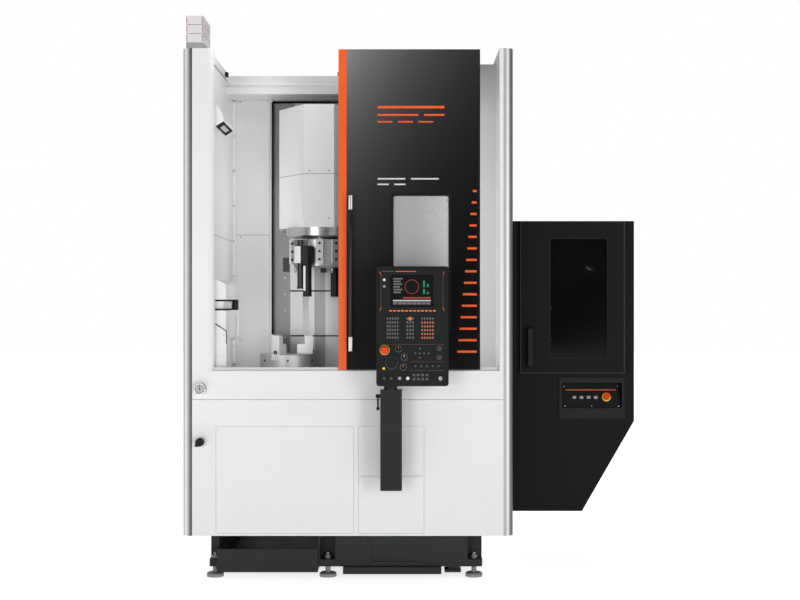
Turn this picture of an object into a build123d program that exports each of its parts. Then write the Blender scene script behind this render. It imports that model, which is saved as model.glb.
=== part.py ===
from build123d import *

import os
from math import cos, radians, sin

os.makedirs("parts", exist_ok=True)

# Body of the machine, in millimetres
body_width = 1790.0
body_height = 2886.0
body_depth = 1680.0
electrical_depth = 520.0
side_width = 723.0
sheet = 3.0
seam = 2.0
running_gap = 0.3
overcut = 6.0

# Corner posts and front frame
post_width = 54.0
post_depth = 70.0
post_round = 44.0
cover_bottom = 251.0
sill_height = 1142.0
apron_height = 154.0
pillar_width = 116.0
pillar_round = 27.0
right_pillar_width = 21.0
frame_depth = 58.0
opening_width = 674.0

# Lower front cover and its access panels
panel_thick = 4.0
panel_gap = 4.0
panel_corner = 8.0
panel_lip = 14.0
panel_side_margin = 128.0
panel_floor_margin = 12.0
panel_tall_height = 580.0
left_panel_width = 746.0
panel_strip = 24.0
right_panel_width = 356.0
lower_panel_height = 308.0

# Front door
door_inset = 2.0
door_thick = 52.0
door_width = 766.8
trim_width = 43.8
trim_thick = 48.0
door_drop = 6.0
door_lift = 6.0
door_travel = 670.0
door_round = 10.0
door_border = 30.0
window_frame = 34.0
rail_width = 16.0
rail_height = 18.0
rail_setback = 22.0
window_inset = 298.0
window_width = 297.0
window_height_share = 0.41801
window_drop_share = 0.45785
window_corner = 12.0
window_rebate = 12.0
glass_thick = 8.0
glass_setback = 10.0
roof_plate = 16.0
roof_reach = 640.0
roller_radius = 13.0
roller_width = 24.0
roller_arm = 34.0
roller_arm_thick = 14.0
roller_spread_share = 0.82

# Front door handle
handle_inset = 66.8
handle_width = 22.0
handle_length_share = 0.48326
handle_drop_share = 0.45785
handle_foot = 75.0
handle_reach = 46.0
handle_bar_radius = 9.0
handle_round = 6.0

# Chamber guard, inset panel and top beam
chamber_depth = 818.0
chamber_width = 1210.0
guard_floor = 1000.0
guard_flange = 34.0
back_panel_width = 238.0
right_back_panel = 110.0
chute_width = 96.0
chute_length = 460.0
chute_margin = 14.0
inset_depth = 300.0
inset_drop = 34.0
inset_left_gap = 70.0
inset_right_margin = 21.0
beam_depth = 551.0
beam_drop = 56.0
beam_height = 105.0
beam_step = 12.0
beam_step_rise = 41.0
beam_step_height = 29.0
setter_reach = 58.0
setter_start = 62.0
setter_length = 584.0
setter_bottom = 1285.0
setter_top = 1640.0
setter_slope = 28.0
setter_chamfer = 30.0
setter_slot_low = 1470.0
setter_slot_high = 1524.0
setter_slot_deep = 14.0
setter_slot_length = 540.0

# Work light on the chamber wall
light_start = 64.0
light_length = 400.0
light_drop = 301.0
light_height = 113.0
light_reach = 45.0
light_neck = 16.0
light_edge = 14.0
light_lip = 28.0
light_fall = 58.0

# Bed casting, feet, coolant tank
bed_left_setback = 129.5
bed_right_setback = 160.5
bed_front_setback = 110.0
bed_rear_setback = 120.0
bed_bottom = 63.0
bed_top = 760.0
bed_deck = 80.0
bed_leg = 46.0
bed_end_wall = 44.0
bed_web = 100.0
bed_right_wall = 88.0
bed_round = 18.0
tunnel_width = 552.0
foot_pad_radius = 47.0
foot_pad_height = 22.0
foot_bevel = 6.0
foot_stem_radius = 14.0
foot_nut_radius = 19.0
foot_nut_height = 16.0
foot_setback = 54.0
left_foot_inset = 27.0
middle_foot_inset = 52.0
right_foot_inset = 44.0
jack_ledge = 38.0
jack_pocket_height = 170.0
jack_pocket_depth = 78.0
jack_pocket_half = 41.0
jack_pocket_side = 82.0
jack_stud_radius = 9.0
jack_stud_end = 16.0
tank_gap = 0.5
tank_bottom = 36.0
tank_top = 162.0
tank_front_setback = 86.0
tank_length = 1340.0
tank_wall = 4.0
tank_runner = 40.0
tank_runner_setback = 330.0
tray_inset = 37.0
tray_width = 539.0
tray_height = 38.0
tray_front_setback = 90.0
tray_length = 1200.0

# Column and its box ways
column_front = 1150.0
column_top = 2640.0
column_margin = 26.0
column_wall = 52.0
way_height = 72.0
way_neck = 40.0
way_depth = 46.0
way_lip = 22.0
lower_way = 1600.0
upper_way = 2280.0

# Headstock, spindle and chuck
spindle_inset = 349.5
spindle_depth = 560.0
headstock_radius = 188.0
headstock_foot_radius = 232.0
headstock_foot = 40.0
headstock_top = 1058.0
headstock_bevel = 14.0
bearing_outer = 140.0
bearing_height = 46.0
bearing_gap = 0.05
bearing_low_lift = 40.0
bearing_high_drop = 60.0
spindle_radius = 104.0
spindle_lift = 18.0
nose_radius = 132.0
nose_height = 20.0
chuck_radius = 157.5
chuck_height = 130.0
chuck_top = 1212.0
chuck_bevel = 5.0
chuck_groove = 4.0
chuck_groove_low = 34.0
pilot_radius = 30.0
pilot_depth = 26.0
jaw_slot_start = 42.0
jaw_slot_depth = 32.0
jaw_width = 46.0
jaw_inner = 56.0
jaw_length = 92.0
jaw_height = 108.0
jaw_step_height = 56.0
jaw_step_share = 0.48
jaw_bevel = 3.0
jaw_travel = 8.0
jaw_first_angle = 248.0
jaw_count = 3
jaw_screw_radius = 9.0
jaw_screw_depth = 22.0
rim_hole_radius = 8.0
rim_hole_depth = 24.0
rim_hole_circle_share = 0.84
rim_hole_count = 6
rim_hole_turn = 15.0

# X saddle, X cover plate and Z covers
turret_offset = 199.0
x_travel = 250.0
x_back_travel = 30.0
z_travel = 200.0
saddle_half = 166.0
saddle_front = 892.0
saddle_back = 1090.0
saddle_bottom = 1520.0
saddle_top = 2400.0
ram_half = 110.0
ram_front = 880.0
ram_back = 1010.0
ram_bottom = 1880.0
ram_top = 2580.0
ram_key = 24.0
ram_key_depth = 30.0
shoe_wall = 30.0
cover_plate_depth = 856.0
cover_plate_gap = 9.0
cover_plate_bottom = 1010.0
wiper_overlap = 30.0
neck_bottom = 1950.0
neck_top = 2180.0
neck_slot_gap = 8.0
z_sheet = 2.0
z_step_gap = 0.4
z_cover_half = 206.0
z_cover_rise_half = 92.0
z_cover_slope = 40.0
z_cover_rise = 16.0
z_upper_bottom = 1576.0
z_middle_bottom = 1304.0
z_cover_overlap = 26.0

# Turret head, hood, drum and tools
hood_front_depth = 350.0
hood_front_half = 84.5
hood_bevel_depth = 253.0
hood_rear_half = 249.5
hood_flange = 15.0
hood_flange_thick = 4.0
hood_back_depth = 838.0
hood_bottom = 1940.0
hood_top = 2636.0
hood_flange_drop = 76.0
head_radius = 150.0
head_top = 2420.0
motor_radius = 95.0
motor_height = 150.0
ring_radius = 206.0
ring_height = 55.0
ring_bevel = 8.0
drum_top_gap = 13.0
drum_bottom = 1733.0
drum_core_radius = 166.0
block_radius = 185.0
block_width = 42.0
station_count = 12
under_plate = 18.0
under_plate_radius = 160.0
under_bevel = 6.0
drum_axle_radius = 60.0
holder_width = 92.0
holder_depth = 58.0
holder_height = 98.0
holder_shift = 24.0
bar_radius = 20.0
bar_offset = 26.0
bar_bottom = 1589.0
bar_top_lift = 36.0
bar_tip = 10.0
bar_neck = 3.0
tool_width = 36.0
tool_depth = 34.0
tool_bottom = 1544.0
tool_offset = 22.0
short_tool = 38.0
short_tool_width = 34.0
short_tool_drop = 44.0

# Electrical cabinet at the rear
electrical_bottom = 420.0
electrical_top = 2300.0
electrical_door_width = 860.0
electrical_door_height = 1560.0
electrical_door_thick = 24.0
electrical_door_side = 120.0
electrical_door_rise = 150.0
electrical_lip = 22.0
back_gap = 1.0
hinge_radius = 9.0
hinge_length = 90.0
hinge_share = 0.78
hinge_leaf_share = 0.3
hinge_bite = 3.0
hinge_pin_length = 34.0
hinge_leaf_width = 24.0
switch_plate_radius = 30.0
switch_plate_height = 10.0
switch_grip_length = 74.0
switch_grip_width = 22.0
switch_grip_height = 20.0
switch_round = 6.0
switch_side = 110.0
switch_rise_share = 0.66

# Signal tower, gauge and pressure knob
tower_width = 93.0
tower_depth = 280.0
tower_inset = 19.5
tower_base = 32.0
tower_tier = 46.0
tower_tier_gap = 3.0
tower_tier_count = 3
tower_round = 14.0
tower_core_round = 7.0
tower_core_inset = 10.0
tower_setback = 4.0
gauge_radius = 32.0
gauge_depth = 26.0
gauge_bezel = 4.0
gauge_recess = 5.0
gauge_inset = 98.0
gauge_height = 1045.0
knob_radius = 22.5
knob_depth = 36.0
knob_lobe_radius = 9.0
knob_stem_radius = 8.0
knob_stem = 12.0
knob_inset = 99.7
knob_height = 760.0
knob_lobe_angle = 225.0
knob_bevel = 3.0

# Side cabinet with door, window, console and hose
side_depth = 400.0
side_length = 640.0
side_bottom = 320.0
side_top = 1976.0
side_slant_height = 834.0
side_slant_width = 297.0
side_door_left_margin = 72.0
side_door_right_margin = 40.0
side_door_bottom = 1108.0
side_door_thick = 26.0
side_door_drop = 4.0
side_door_lip = 24.0
side_door_round = 8.0
side_window_left = 169.0
side_window_width = 323.7
side_window_bottom = 1199.6
side_window_top = 1874.4
side_window_corner = 14.0
side_glass = 5.0
side_glass_rebate = 12.0
side_handle_left = 40.0
side_handle_width = 28.0
side_handle_low = 1150.0
side_handle_high = 1367.0
side_handle_reach = 42.0
side_handle_foot = 30.0
side_handle_bar = 12.0
console_left = 295.5
console_width = 373.0
console_bottom = 849.0
console_top = 1082.0
console_plate = 8.0
console_corner = 8.0
console_frame = 16.0
console_deep = 60.0
console_shallow = 14.0
console_low_edge = 59.0
console_high_edge = 29.0
console_key = 24.0
console_key_height = 3.0
console_key_round = 3.0
console_key_start = 90.0
console_key_pitch = 40.7
console_key_rise = 120.5
console_stop_left = 273.8
console_stop_rise = 123.0
console_stop_radius = 18.0
console_stop_height = 26.0
console_stop_stem_radius = 9.0
console_stop_collar = 8.0
console_stop_travel = 5.0
hose_radius = 17.0
hose_from_left = 300.0
hose_level = 1490.0
hose_bend = 70.0
hose_foot = 1150.0
clamp_height = 26.0
clamp_reach = 24.0
clamp_levels = (1470.0, 1285.0)

# Pendant on its post
pendant_axis_stand = 125.0
pendant_ahead = 75.0
pendant_behind = 42.0
pendant_width = 380.0
pendant_height = 629.5
pendant_bottom = 1072.5
pendant_left_reach = 74.0
pendant_round = 16.0
pendant_axis_inset = 1126.5
neck_radius = 36.0
neck_collar = 5.0
post_box_width = 115.0
post_box_depth = 100.0
post_box_bottom = 517.0
post_box_top = 1049.0
post_box_round = 12.0
post_box_left_reach = 54.0
post_box_ahead = 36.0
bracket_height = 90.0
bracket_width = 78.0
bracket_low_share = 0.18
bracket_high_share = 0.72
lever_hub_radius = 10.0
lever_hub_length = 24.0
lever_arm_length = 66.0
lever_arm_radius = 5.0
lever_knob_radius = 9.0
lever_drop = 34.0
fascia_margin = 12.0
fascia_thick = 4.0
fascia_round = 8.0
fascia_hole_gap = 0.4
screen_thick = 3.0
key_height = 2.0
key_gap_share = 0.24
screen_shares = (0.196, 0.787, 0.073, 0.338)
function_key_shares = (0.17, 0.83, 0.362, 0.38)
left_key_shares = (0.14, 0.312, 0.42, 0.61)
middle_key_shares = (0.41, 0.525, 0.42, 0.61)
right_key_shares = (0.615, 0.80, 0.42, 0.61)
lower_key_shares = (0.49, 0.73, 0.89, 0.956)
lamp_shares = ((0.11, 0.113), (0.11, 0.167), (0.104, 0.851), (0.867, 0.684), (0.867, 0.758))
button_shares = ((0.11, 0.933), (0.204, 0.933), (0.3225, 0.933), (0.434, 0.933))
lamp_radius = 9.0
button_radius = 11.0
button_height = 7.0
estop_share = (0.116, 0.698)
estop_radius = 20.0
estop_cap = 24.0
estop_collar_radius = 23.0
estop_collar = 6.0
estop_stem_radius = 10.0
estop_stem = 30.0
estop_travel = 6.0
wheel_share = (0.211, 0.806)
wheel_radius = 29.0
wheel_height = 16.0
wheel_bevel = 2.0
wheel_stand = 8.0
wheel_hub_radius = 10.0
wheel_stem = 14.0
crank_radius = 5.0
crank_height = 14.0
crank_share = 0.68
override_shares = ((0.307, 0.688), (0.385, 0.758), (0.3725, 0.842))
override_radius = 12.5
override_height = 16.0
override_stem_radius = 5.0
override_stem = 10.0
override_grip = 7.0
key_share = (0.885, 0.934)
key_barrel_radius = 10.0
key_barrel = 7.0
key_stem_radius = 6.0
key_bow_width = 22.0
key_bow_thick = 3.0
key_bow_length = 24.0

# Places that follow from the sizes
wheel_reach = fascia_thick + wheel_stand + wheel_height + crank_height
pendant_reach = pendant_axis_stand + pendant_ahead + wheel_reach
overall_depth = pendant_reach + body_depth + electrical_depth
front = pendant_reach - overall_depth / 2
body_left = -(body_width + side_width) / 2
body_right = body_left + body_width
body_back = front + body_depth
side_right = body_right + side_width
post_inner_left = body_left + post_width
post_inner_right = body_right - post_width
opening_left = post_inner_left + pillar_width
opening_right = opening_left + opening_width
right_pillar_left = post_inner_right - right_pillar_width
frame_bottom = sill_height - apron_height
bed_left = body_left + bed_left_setback
bed_right = body_right - bed_right_setback
bed_front = front + bed_front_setback
bed_back = body_back - bed_rear_setback
tunnel_left = bed_left + bed_leg
tunnel_right = tunnel_left + tunnel_width
spindle_x = opening_left + spindle_inset
spindle_y = front + spindle_depth
turret_x = spindle_x + turret_offset
turret_y = spindle_y
chuck_bottom = chuck_top - chuck_height
guard_right = opening_left + chamber_width
guard_back = front + chamber_depth
beam_front = front + beam_depth
wiper_left = opening_left + back_panel_width
wiper_right = guard_right - right_back_panel
door_left = opening_right
door_right = door_left + door_width
door_front = front + door_inset
door_back = door_front + door_thick
door_bottom = sill_height + door_lift
door_top = body_height - door_drop
door_tall = door_top - door_bottom
window_height = door_tall * window_height_share
window_top_drop = door_tall * window_drop_share
handle_length = door_tall * handle_length_share
handle_top_drop = door_tall * handle_drop_share
inset_top = body_height - inset_drop
beam_top = body_height - beam_drop
beam_bottom = beam_top - beam_height
beam_step_low = beam_bottom + beam_step_rise
beam_step_high = beam_step_low + beam_step_height
light_top = body_height - light_drop
cover_plate_top = beam_bottom - cover_plate_gap
inset_left = opening_right + inset_left_gap
inset_right = post_inner_right - inset_right_margin
guard_left_top = inset_top - sheet
pendant_x = body_left + pendant_axis_inset
pendant_y = front - pendant_axis_stand
pendant_left = pendant_x - pendant_left_reach
pendant_front = pendant_y - pendant_ahead
pendant_back = pendant_y + pendant_behind
pendant_top = pendant_bottom + pendant_height
side_front = front + side_depth


def front_plane(place):
    """A sketch plane facing the viewer, standing at one place along the depth."""
    return Plane((0, place, 0), x_dir=(1, 0, 0), z_dir=(0, -1, 0))


def side_plane(place):
    """A sketch plane facing right, standing at one place across the width."""
    return Plane((place, 0, 0), x_dir=(0, 1, 0), z_dir=(1, 0, 0))


def level(place):
    """A level sketch plane at one height."""
    return Plane((0, 0, place))


def outline(plane, points):
    """A flat outline through the given points."""
    with BuildSketch(plane) as shape:
        with BuildLine():
            Polyline(*points, close=True)
        make_face()
    return shape.sketch


def folded(plane, points, side, thick=sheet):
    """The edge view of a folded sheet that follows the given points."""
    with BuildSketch(plane) as shape:
        with BuildLine():
            bend_line = Polyline(*points)
            offset(bend_line, amount=thick, side=side, kind=Kind.INTERSECTION)
        make_face()
    return shape.sketch


def rounded(plane, x_span, z_span, radius):
    """A rectangle with rounded corners between two pairs of places."""
    middle = ((x_span[0] + x_span[1]) / 2, (z_span[0] + z_span[1]) / 2)
    with BuildSketch(plane) as shape:
        with Locations(middle):
            RectangleRounded(x_span[1] - x_span[0], z_span[1] - z_span[0], radius)
    return shape.sketch


def disc(plane, place, radius):
    """A round face at one place on a plane."""
    with BuildSketch(plane) as shape:
        with Locations(place):
            Circle(radius)
    return shape.sketch


def block(x_span, y_span, z_span, mode=Mode.ADD):
    """A block between two places along each axis."""
    spans = (x_span, y_span, z_span)
    with Locations(tuple((low + high) / 2 for low, high in spans)):
        Box(*[high - low for low, high in spans], mode=mode)


def hinge_pins(pin_x, pin_y, face, centre, spread):
    """The fixed halves of two hinges: a pin under each knuckle on a leaf on the cabinet's face."""
    pin_radius = hinge_radius - hinge_bite - running_gap
    leaf_edge = pin_y + (face - pin_y) * hinge_leaf_share
    for end in (-1, 1):
        knuckle_low = centre + end * spread / 2 - hinge_length / 2
        pin_low = knuckle_low - running_gap - hinge_pin_length
        extrude(disc(level(pin_low), (pin_x, pin_y), pin_radius), amount=hinge_pin_length)
        block((pin_x, pin_x + hinge_leaf_width), (min(leaf_edge, face), max(leaf_edge, face)),
              (pin_low, pin_low + hinge_pin_length))


def save(piece, name):
    """Labels a finished piece and writes it."""
    piece.part.label = name
    export_step(piece.part, f"parts/{name}.step")


def around(angle, radius, across=0):
    """Where a point lies about an upright axis, by its angle and radius."""
    turn = radians(angle)
    return (radius * cos(turn) - across * sin(turn), radius * sin(turn) + across * cos(turn))


# Bed casting: legs and deck round the tank tunnel, a hollow on the right, jack pockets over the feet
foot_xs = (bed_left + left_foot_inset, tunnel_right + middle_foot_inset, bed_right - right_foot_inset)
foot_ys = (bed_front + foot_setback, bed_back - foot_setback)
ledge_top = bed_bottom + jack_ledge
pocket_spans = ((bed_left - overcut, tunnel_left + overcut),
                (foot_xs[1] - jack_pocket_half, foot_xs[1] + jack_pocket_half),
                (bed_right - jack_pocket_side, bed_right + overcut))
with BuildPart() as bed_casting:
    block((bed_left, bed_right), (bed_front, bed_back), (bed_bottom, bed_top))
    fillet(bed_casting.edges().filter_by(Axis.Z), bed_round)
    block((tunnel_left, tunnel_right), (bed_front - overcut, bed_back + overcut),
          (bed_bottom - overcut, bed_top - bed_deck), Mode.SUBTRACT)
    block((tunnel_right + bed_web, bed_right - bed_right_wall),
          (bed_front + bed_end_wall, bed_back - bed_end_wall),
          (bed_bottom - overcut, bed_top - bed_deck), Mode.SUBTRACT)
    for pocket_span in pocket_spans:
        for y_span in ((bed_front - overcut, bed_front + jack_pocket_depth),
                       (bed_back - jack_pocket_depth, bed_back + overcut)):
            block(pocket_span, y_span, (ledge_top, ledge_top + jack_pocket_height), Mode.SUBTRACT)
    for foot_x in foot_xs:
        for foot_y in foot_ys:
            extrude(disc(level(bed_bottom - overcut), (foot_x, foot_y), jack_stud_radius + running_gap),
                    amount=jack_ledge + overcut * 2, mode=Mode.SUBTRACT)
save(bed_casting, "bed_casting")

# Six levelling feet: a shoulder under each ledge, the stud through it and a nut on top
with BuildPart() as levelling_feet:
    for foot_x in foot_xs:
        for foot_y in foot_ys:
            extrude(disc(level(0), (foot_x, foot_y), foot_pad_radius),
                    amount=foot_pad_height - foot_bevel)
            extrude(disc(level(foot_pad_height - foot_bevel), (foot_x, foot_y), foot_pad_radius),
                    amount=foot_bevel, taper=45)
            extrude(disc(level(foot_pad_height), (foot_x, foot_y), foot_stem_radius),
                    amount=bed_bottom - foot_pad_height)
            extrude(disc(level(bed_bottom), (foot_x, foot_y), jack_stud_radius),
                    amount=jack_ledge + foot_nut_height + jack_stud_end)
            with BuildSketch(level(ledge_top)) as nut:
                with Locations((foot_x, foot_y)):
                    RegularPolygon(foot_nut_radius, 6)
            extrude(nut.sketch, amount=foot_nut_height)
save(levelling_feet, "levelling_feet")

# Coolant tank in the tunnel, with the drip tray under the bed
tank_left = tunnel_left + tank_gap
tank_right = tunnel_right - tank_gap
tank_front = front + tank_front_setback
tank_back = tank_front + tank_length
tray_left = tunnel_right + bed_web + tray_inset
tray_front = front + tray_front_setback
with BuildPart() as coolant_tank:
    block((tank_left, tank_right), (tank_front, tank_back), (tank_bottom, tank_top))
    offset(amount=-tank_wall, openings=coolant_tank.faces().sort_by(Axis.Z)[-1])
    for runner_x in (tank_left, tank_right - tank_runner):
        block((runner_x, runner_x + tank_runner), (tank_front + tank_runner_setback, tank_back),
              (0, tank_bottom))
    block((tray_left, tray_left + tray_width), (tray_front, tray_front + tray_length),
          (bed_bottom - tray_height, bed_bottom))
    block((tray_left + tank_wall, tray_left + tray_width - tank_wall),
          (tray_front + tank_wall, tray_front + tray_length - tank_wall),
          (bed_bottom - tray_height + tank_wall, bed_bottom), Mode.SUBTRACT)
save(coolant_tank, "coolant_tank")

# Column with two box ways across its front
column_left = turret_x - saddle_half - x_back_travel - column_margin
column_right = turret_x + saddle_half + x_travel + column_margin
column_face = front + column_front
way_face = column_face - way_depth
with BuildPart() as column:
    block((column_left, column_right), (column_face, bed_back), (bed_top, column_top))
    block((column_left + column_wall, column_right - column_wall),
          (column_face + column_wall, bed_back + overcut),
          (bed_top + column_wall, column_top - column_wall), Mode.SUBTRACT)
    for way_z in (lower_way, upper_way):
        way_points = [(column_face, way_z - way_neck / 2), (way_face + way_lip, way_z - way_neck / 2),
                      (way_face + way_lip, way_z - way_height / 2), (way_face, way_z - way_height / 2),
                      (way_face, way_z + way_height / 2), (way_face + way_lip, way_z + way_height / 2),
                      (way_face + way_lip, way_z + way_neck / 2), (column_face, way_z + way_neck / 2)]
        extrude(outline(side_plane(column_left), way_points), amount=column_right - column_left)
save(column, "column")

# Headstock on the bed deck, bored for two bearings
spindle_place = (spindle_x, spindle_y)
bearing_low = bed_top + bearing_low_lift
bearing_high = headstock_top - bearing_high_drop - bearing_height
with BuildPart() as headstock:
    extrude(disc(level(bed_top), spindle_place, headstock_foot_radius), amount=headstock_foot)
    extrude(disc(level(bed_top + headstock_foot), spindle_place, headstock_radius),
            amount=headstock_top - bed_top - headstock_foot)
    chamfer(headstock.edges().group_by(Axis.Z)[-1], headstock_bevel)
    extrude(disc(level(bed_top), spindle_place, spindle_radius + running_gap),
            amount=headstock_top - bed_top,
            mode=Mode.SUBTRACT)
    for bearing_z in (bearing_low, bearing_high):
        extrude(disc(level(bearing_z), spindle_place, bearing_outer + bearing_gap), amount=bearing_height,
                mode=Mode.SUBTRACT)
save(headstock, "headstock")

with BuildPart() as spindle_bearings:
    for bearing_z in (bearing_low, bearing_high):
        extrude(disc(level(bearing_z), spindle_place, bearing_outer), amount=bearing_height)
        extrude(disc(level(bearing_z), spindle_place, spindle_radius + bearing_gap),
                amount=bearing_height,
                mode=Mode.SUBTRACT)
save(spindle_bearings, "spindle_bearings")

with BuildPart() as spindle:
    extrude(disc(level(bed_top + spindle_lift), spindle_place, spindle_radius),
            amount=chuck_bottom - bed_top - spindle_lift)
    extrude(disc(level(chuck_bottom - nose_height), spindle_place, nose_radius), amount=nose_height)
save(spindle, "spindle")

# Chuck with three radial jaw slots open at the rim
jaw_angles = [jaw_first_angle + 360 * number / jaw_count for number in range(jaw_count)]
slot_floor = chuck_top - jaw_slot_depth
with BuildPart() as chuck_body:
    extrude(disc(level(chuck_bottom), spindle_place, chuck_radius), amount=chuck_height)
    chamfer(chuck_body.edges(), chuck_bevel)
    extrude(disc(level(chuck_top - pilot_depth), spindle_place, pilot_radius), amount=pilot_depth,
            mode=Mode.SUBTRACT)
    with BuildSketch(level(chuck_bottom + chuck_groove_low)) as groove:
        with Locations(spindle_place):
            Circle(chuck_radius + chuck_groove)
            Circle(chuck_radius - chuck_groove, mode=Mode.SUBTRACT)
    extrude(groove.sketch, amount=chuck_groove, mode=Mode.SUBTRACT)
    for angle in jaw_angles:
        slot_plane = Plane((spindle_x, spindle_y, slot_floor), x_dir=(*around(angle, 1), 0),
                           z_dir=(0, 0, 1))
        slot_points = [(jaw_slot_start, -jaw_width / 2 - running_gap),
                       (chuck_radius + overcut, -jaw_width / 2 - running_gap),
                       (chuck_radius + overcut, jaw_width / 2 + running_gap), (jaw_slot_start,
                                                                               jaw_width / 2 + running_gap)]
        extrude(outline(slot_plane, slot_points), amount=jaw_slot_depth + overcut, mode=Mode.SUBTRACT)
    with BuildSketch(level(chuck_top - rim_hole_depth)) as rim_holes:
        with Locations(spindle_place):
            with PolarLocations(chuck_radius * rim_hole_circle_share, rim_hole_count,
                                jaw_first_angle + rim_hole_turn * 2):
                Circle(rim_hole_radius)
    extrude(rim_holes.sketch, amount=rim_hole_depth, mode=Mode.SUBTRACT)
save(chuck_body, "chuck_body")

# Three stepped jaws, each on its own slot
for number, angle in enumerate(jaw_angles):
    jaw_floor = slot_floor + running_gap
    jaw_step = jaw_inner + jaw_length * jaw_step_share
    jaw_outer = jaw_inner + jaw_length
    jaw_across = (*around(angle - 90, 1), 0)
    jaw_corner = around(angle - 90, -jaw_width / 2)
    jaw_plane = Plane((spindle_x + jaw_corner[0], spindle_y + jaw_corner[1], 0),
                      x_dir=(*around(angle, 1), 0), z_dir=jaw_across)
    jaw_points = [(jaw_inner, jaw_floor), (jaw_outer, jaw_floor), (jaw_outer, chuck_top + jaw_height),
                  (jaw_step, chuck_top + jaw_height), (jaw_step, chuck_top + jaw_step_height),
                  (jaw_inner, chuck_top + jaw_step_height)]
    with BuildPart() as jaw:
        extrude(outline(jaw_plane, jaw_points), amount=jaw_width)
        chamfer(jaw.faces().sort_by(Axis.Z)[-1].edges(), jaw_bevel)
        screw_at = around(angle, (jaw_inner + jaw_step) / 2)
        extrude(disc(level(chuck_top + jaw_step_height - jaw_screw_depth),
                     (spindle_x + screw_at[0], spindle_y + screw_at[1]), jaw_screw_radius),
                amount=jaw_screw_depth, mode=Mode.SUBTRACT)
    save(jaw, f"jaw_{number + 1}")

# Corner posts with a rounded outer corner
with BuildPart() as corner_posts:
    for post_left, outer in ((body_left, body_left), (post_inner_right, body_right)):
        with BuildSketch(level(cover_bottom)) as post_outline:
            with Locations((post_left + post_width / 2, front + post_depth / 2)):
                Rectangle(post_width, post_depth)
            fillet(post_outline.vertices().sort_by_distance((outer, front, cover_bottom))[0], post_round)
        extrude(post_outline.sketch, amount=body_height - cover_bottom)
save(corner_posts, "corner_posts")

# Front frame: left pillar, apron with the sill, right pillar, hollow from behind
with BuildPart() as front_frame:
    frame_points = [(post_inner_left, frame_bottom), (post_inner_right, frame_bottom),
                    (post_inner_right, body_height), (right_pillar_left, body_height),
                    (right_pillar_left, sill_height), (opening_left, sill_height),
                    (opening_left, body_height), (post_inner_left, body_height)]
    extrude(outline(front_plane(front), frame_points), amount=-frame_depth)
    fillet(front_frame.edges().filter_by(Axis.Z).sort_by_distance((opening_left, front, body_height))[0],
           pillar_round)
    offset(amount=-sheet, openings=front_frame.faces().sort_by(Axis.Y)[-1], kind=Kind.INTERSECTION)
    block((opening_left, right_pillar_left), (front + rail_setback, front + rail_setback + rail_width),
          (sill_height, sill_height + rail_height))
save(front_frame, "front_frame")

# Lower front cover with lipped openings, and the access panels in them
panel_left = post_inner_left + panel_side_margin
panel_floor = cover_bottom + panel_floor_margin
panel_top = panel_floor + panel_tall_height
second_left = panel_left + left_panel_width + panel_strip
panel_spans = (((panel_left, panel_left + left_panel_width), (panel_floor, panel_top)),
               ((second_left, second_left + right_panel_width),
                (panel_floor, panel_floor + lower_panel_height)),
               ((second_left, second_left + right_panel_width),
                (panel_floor + lower_panel_height + panel_gap, panel_top)))
with BuildPart() as lower_front_cover:
    cover_bend = [(front, frame_bottom - seam), (front, cover_bottom), (bed_front, cover_bottom)]
    extrude(folded(side_plane(post_inner_left), cover_bend, Side.LEFT),
            amount=post_inner_right - post_inner_left)
    for corner_span in ((post_inner_left - overcut, bed_left), (bed_right, post_inner_right + overcut)):
        block(corner_span, (front + post_depth, bed_front + overcut),
              (cover_bottom - overcut, cover_bottom + sheet + overcut),
              Mode.SUBTRACT)
    for x_span, z_span in panel_spans:
        block(x_span, (front + sheet, front + panel_thick + sheet), z_span)
        block((x_span[0] + panel_lip, x_span[1] - panel_lip),
              (front - overcut, front + panel_thick + sheet + overcut),
              (z_span[0] + panel_lip, z_span[1] - panel_lip), Mode.SUBTRACT)
        extrude(rounded(front_plane(front - overcut), x_span, z_span, panel_corner),
                amount=-panel_thick - overcut,
                mode=Mode.SUBTRACT)
save(lower_front_cover, "lower_front_cover")

with BuildPart() as front_access_panels:
    for (x_low, x_high), (z_low, z_high) in panel_spans:
        extrude(rounded(front_plane(front), (x_low + panel_gap / 2, x_high - panel_gap / 2),
                        (z_low + panel_gap / 2,
                         z_high - panel_gap / 2), panel_corner), amount=-panel_thick)
save(front_access_panels, "front_access_panels")

# Side covers folded round the body, reaching the bed below
with BuildPart() as left_side_cover:
    cover_bend = [(opening_left - guard_flange, guard_left_top),
                  (opening_left - guard_flange, body_height),
                  (body_left, body_height), (body_left, cover_bottom), (bed_left, cover_bottom)]
    extrude(folded(front_plane(front + post_depth), cover_bend, Side.LEFT),
            amount=post_depth - body_depth)
    block((body_left + sheet, bed_right), (beam_front, body_back + overcut),
          (beam_top, body_height + overcut), Mode.SUBTRACT)
save(left_side_cover, "left_side_cover")

with BuildPart() as right_side_cover:
    cover_bend = [(inset_right, inset_top), (inset_right, body_height), (body_right, body_height),
                  (body_right, cover_bottom), (bed_right, cover_bottom)]
    extrude(folded(front_plane(front + post_depth), cover_bend, Side.RIGHT),
            amount=post_depth - body_depth)
    block((bed_left, body_right - sheet), (beam_front, body_back + overcut),
          (beam_top, body_height + overcut), Mode.SUBTRACT)
save(right_side_cover, "right_side_cover")

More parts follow.
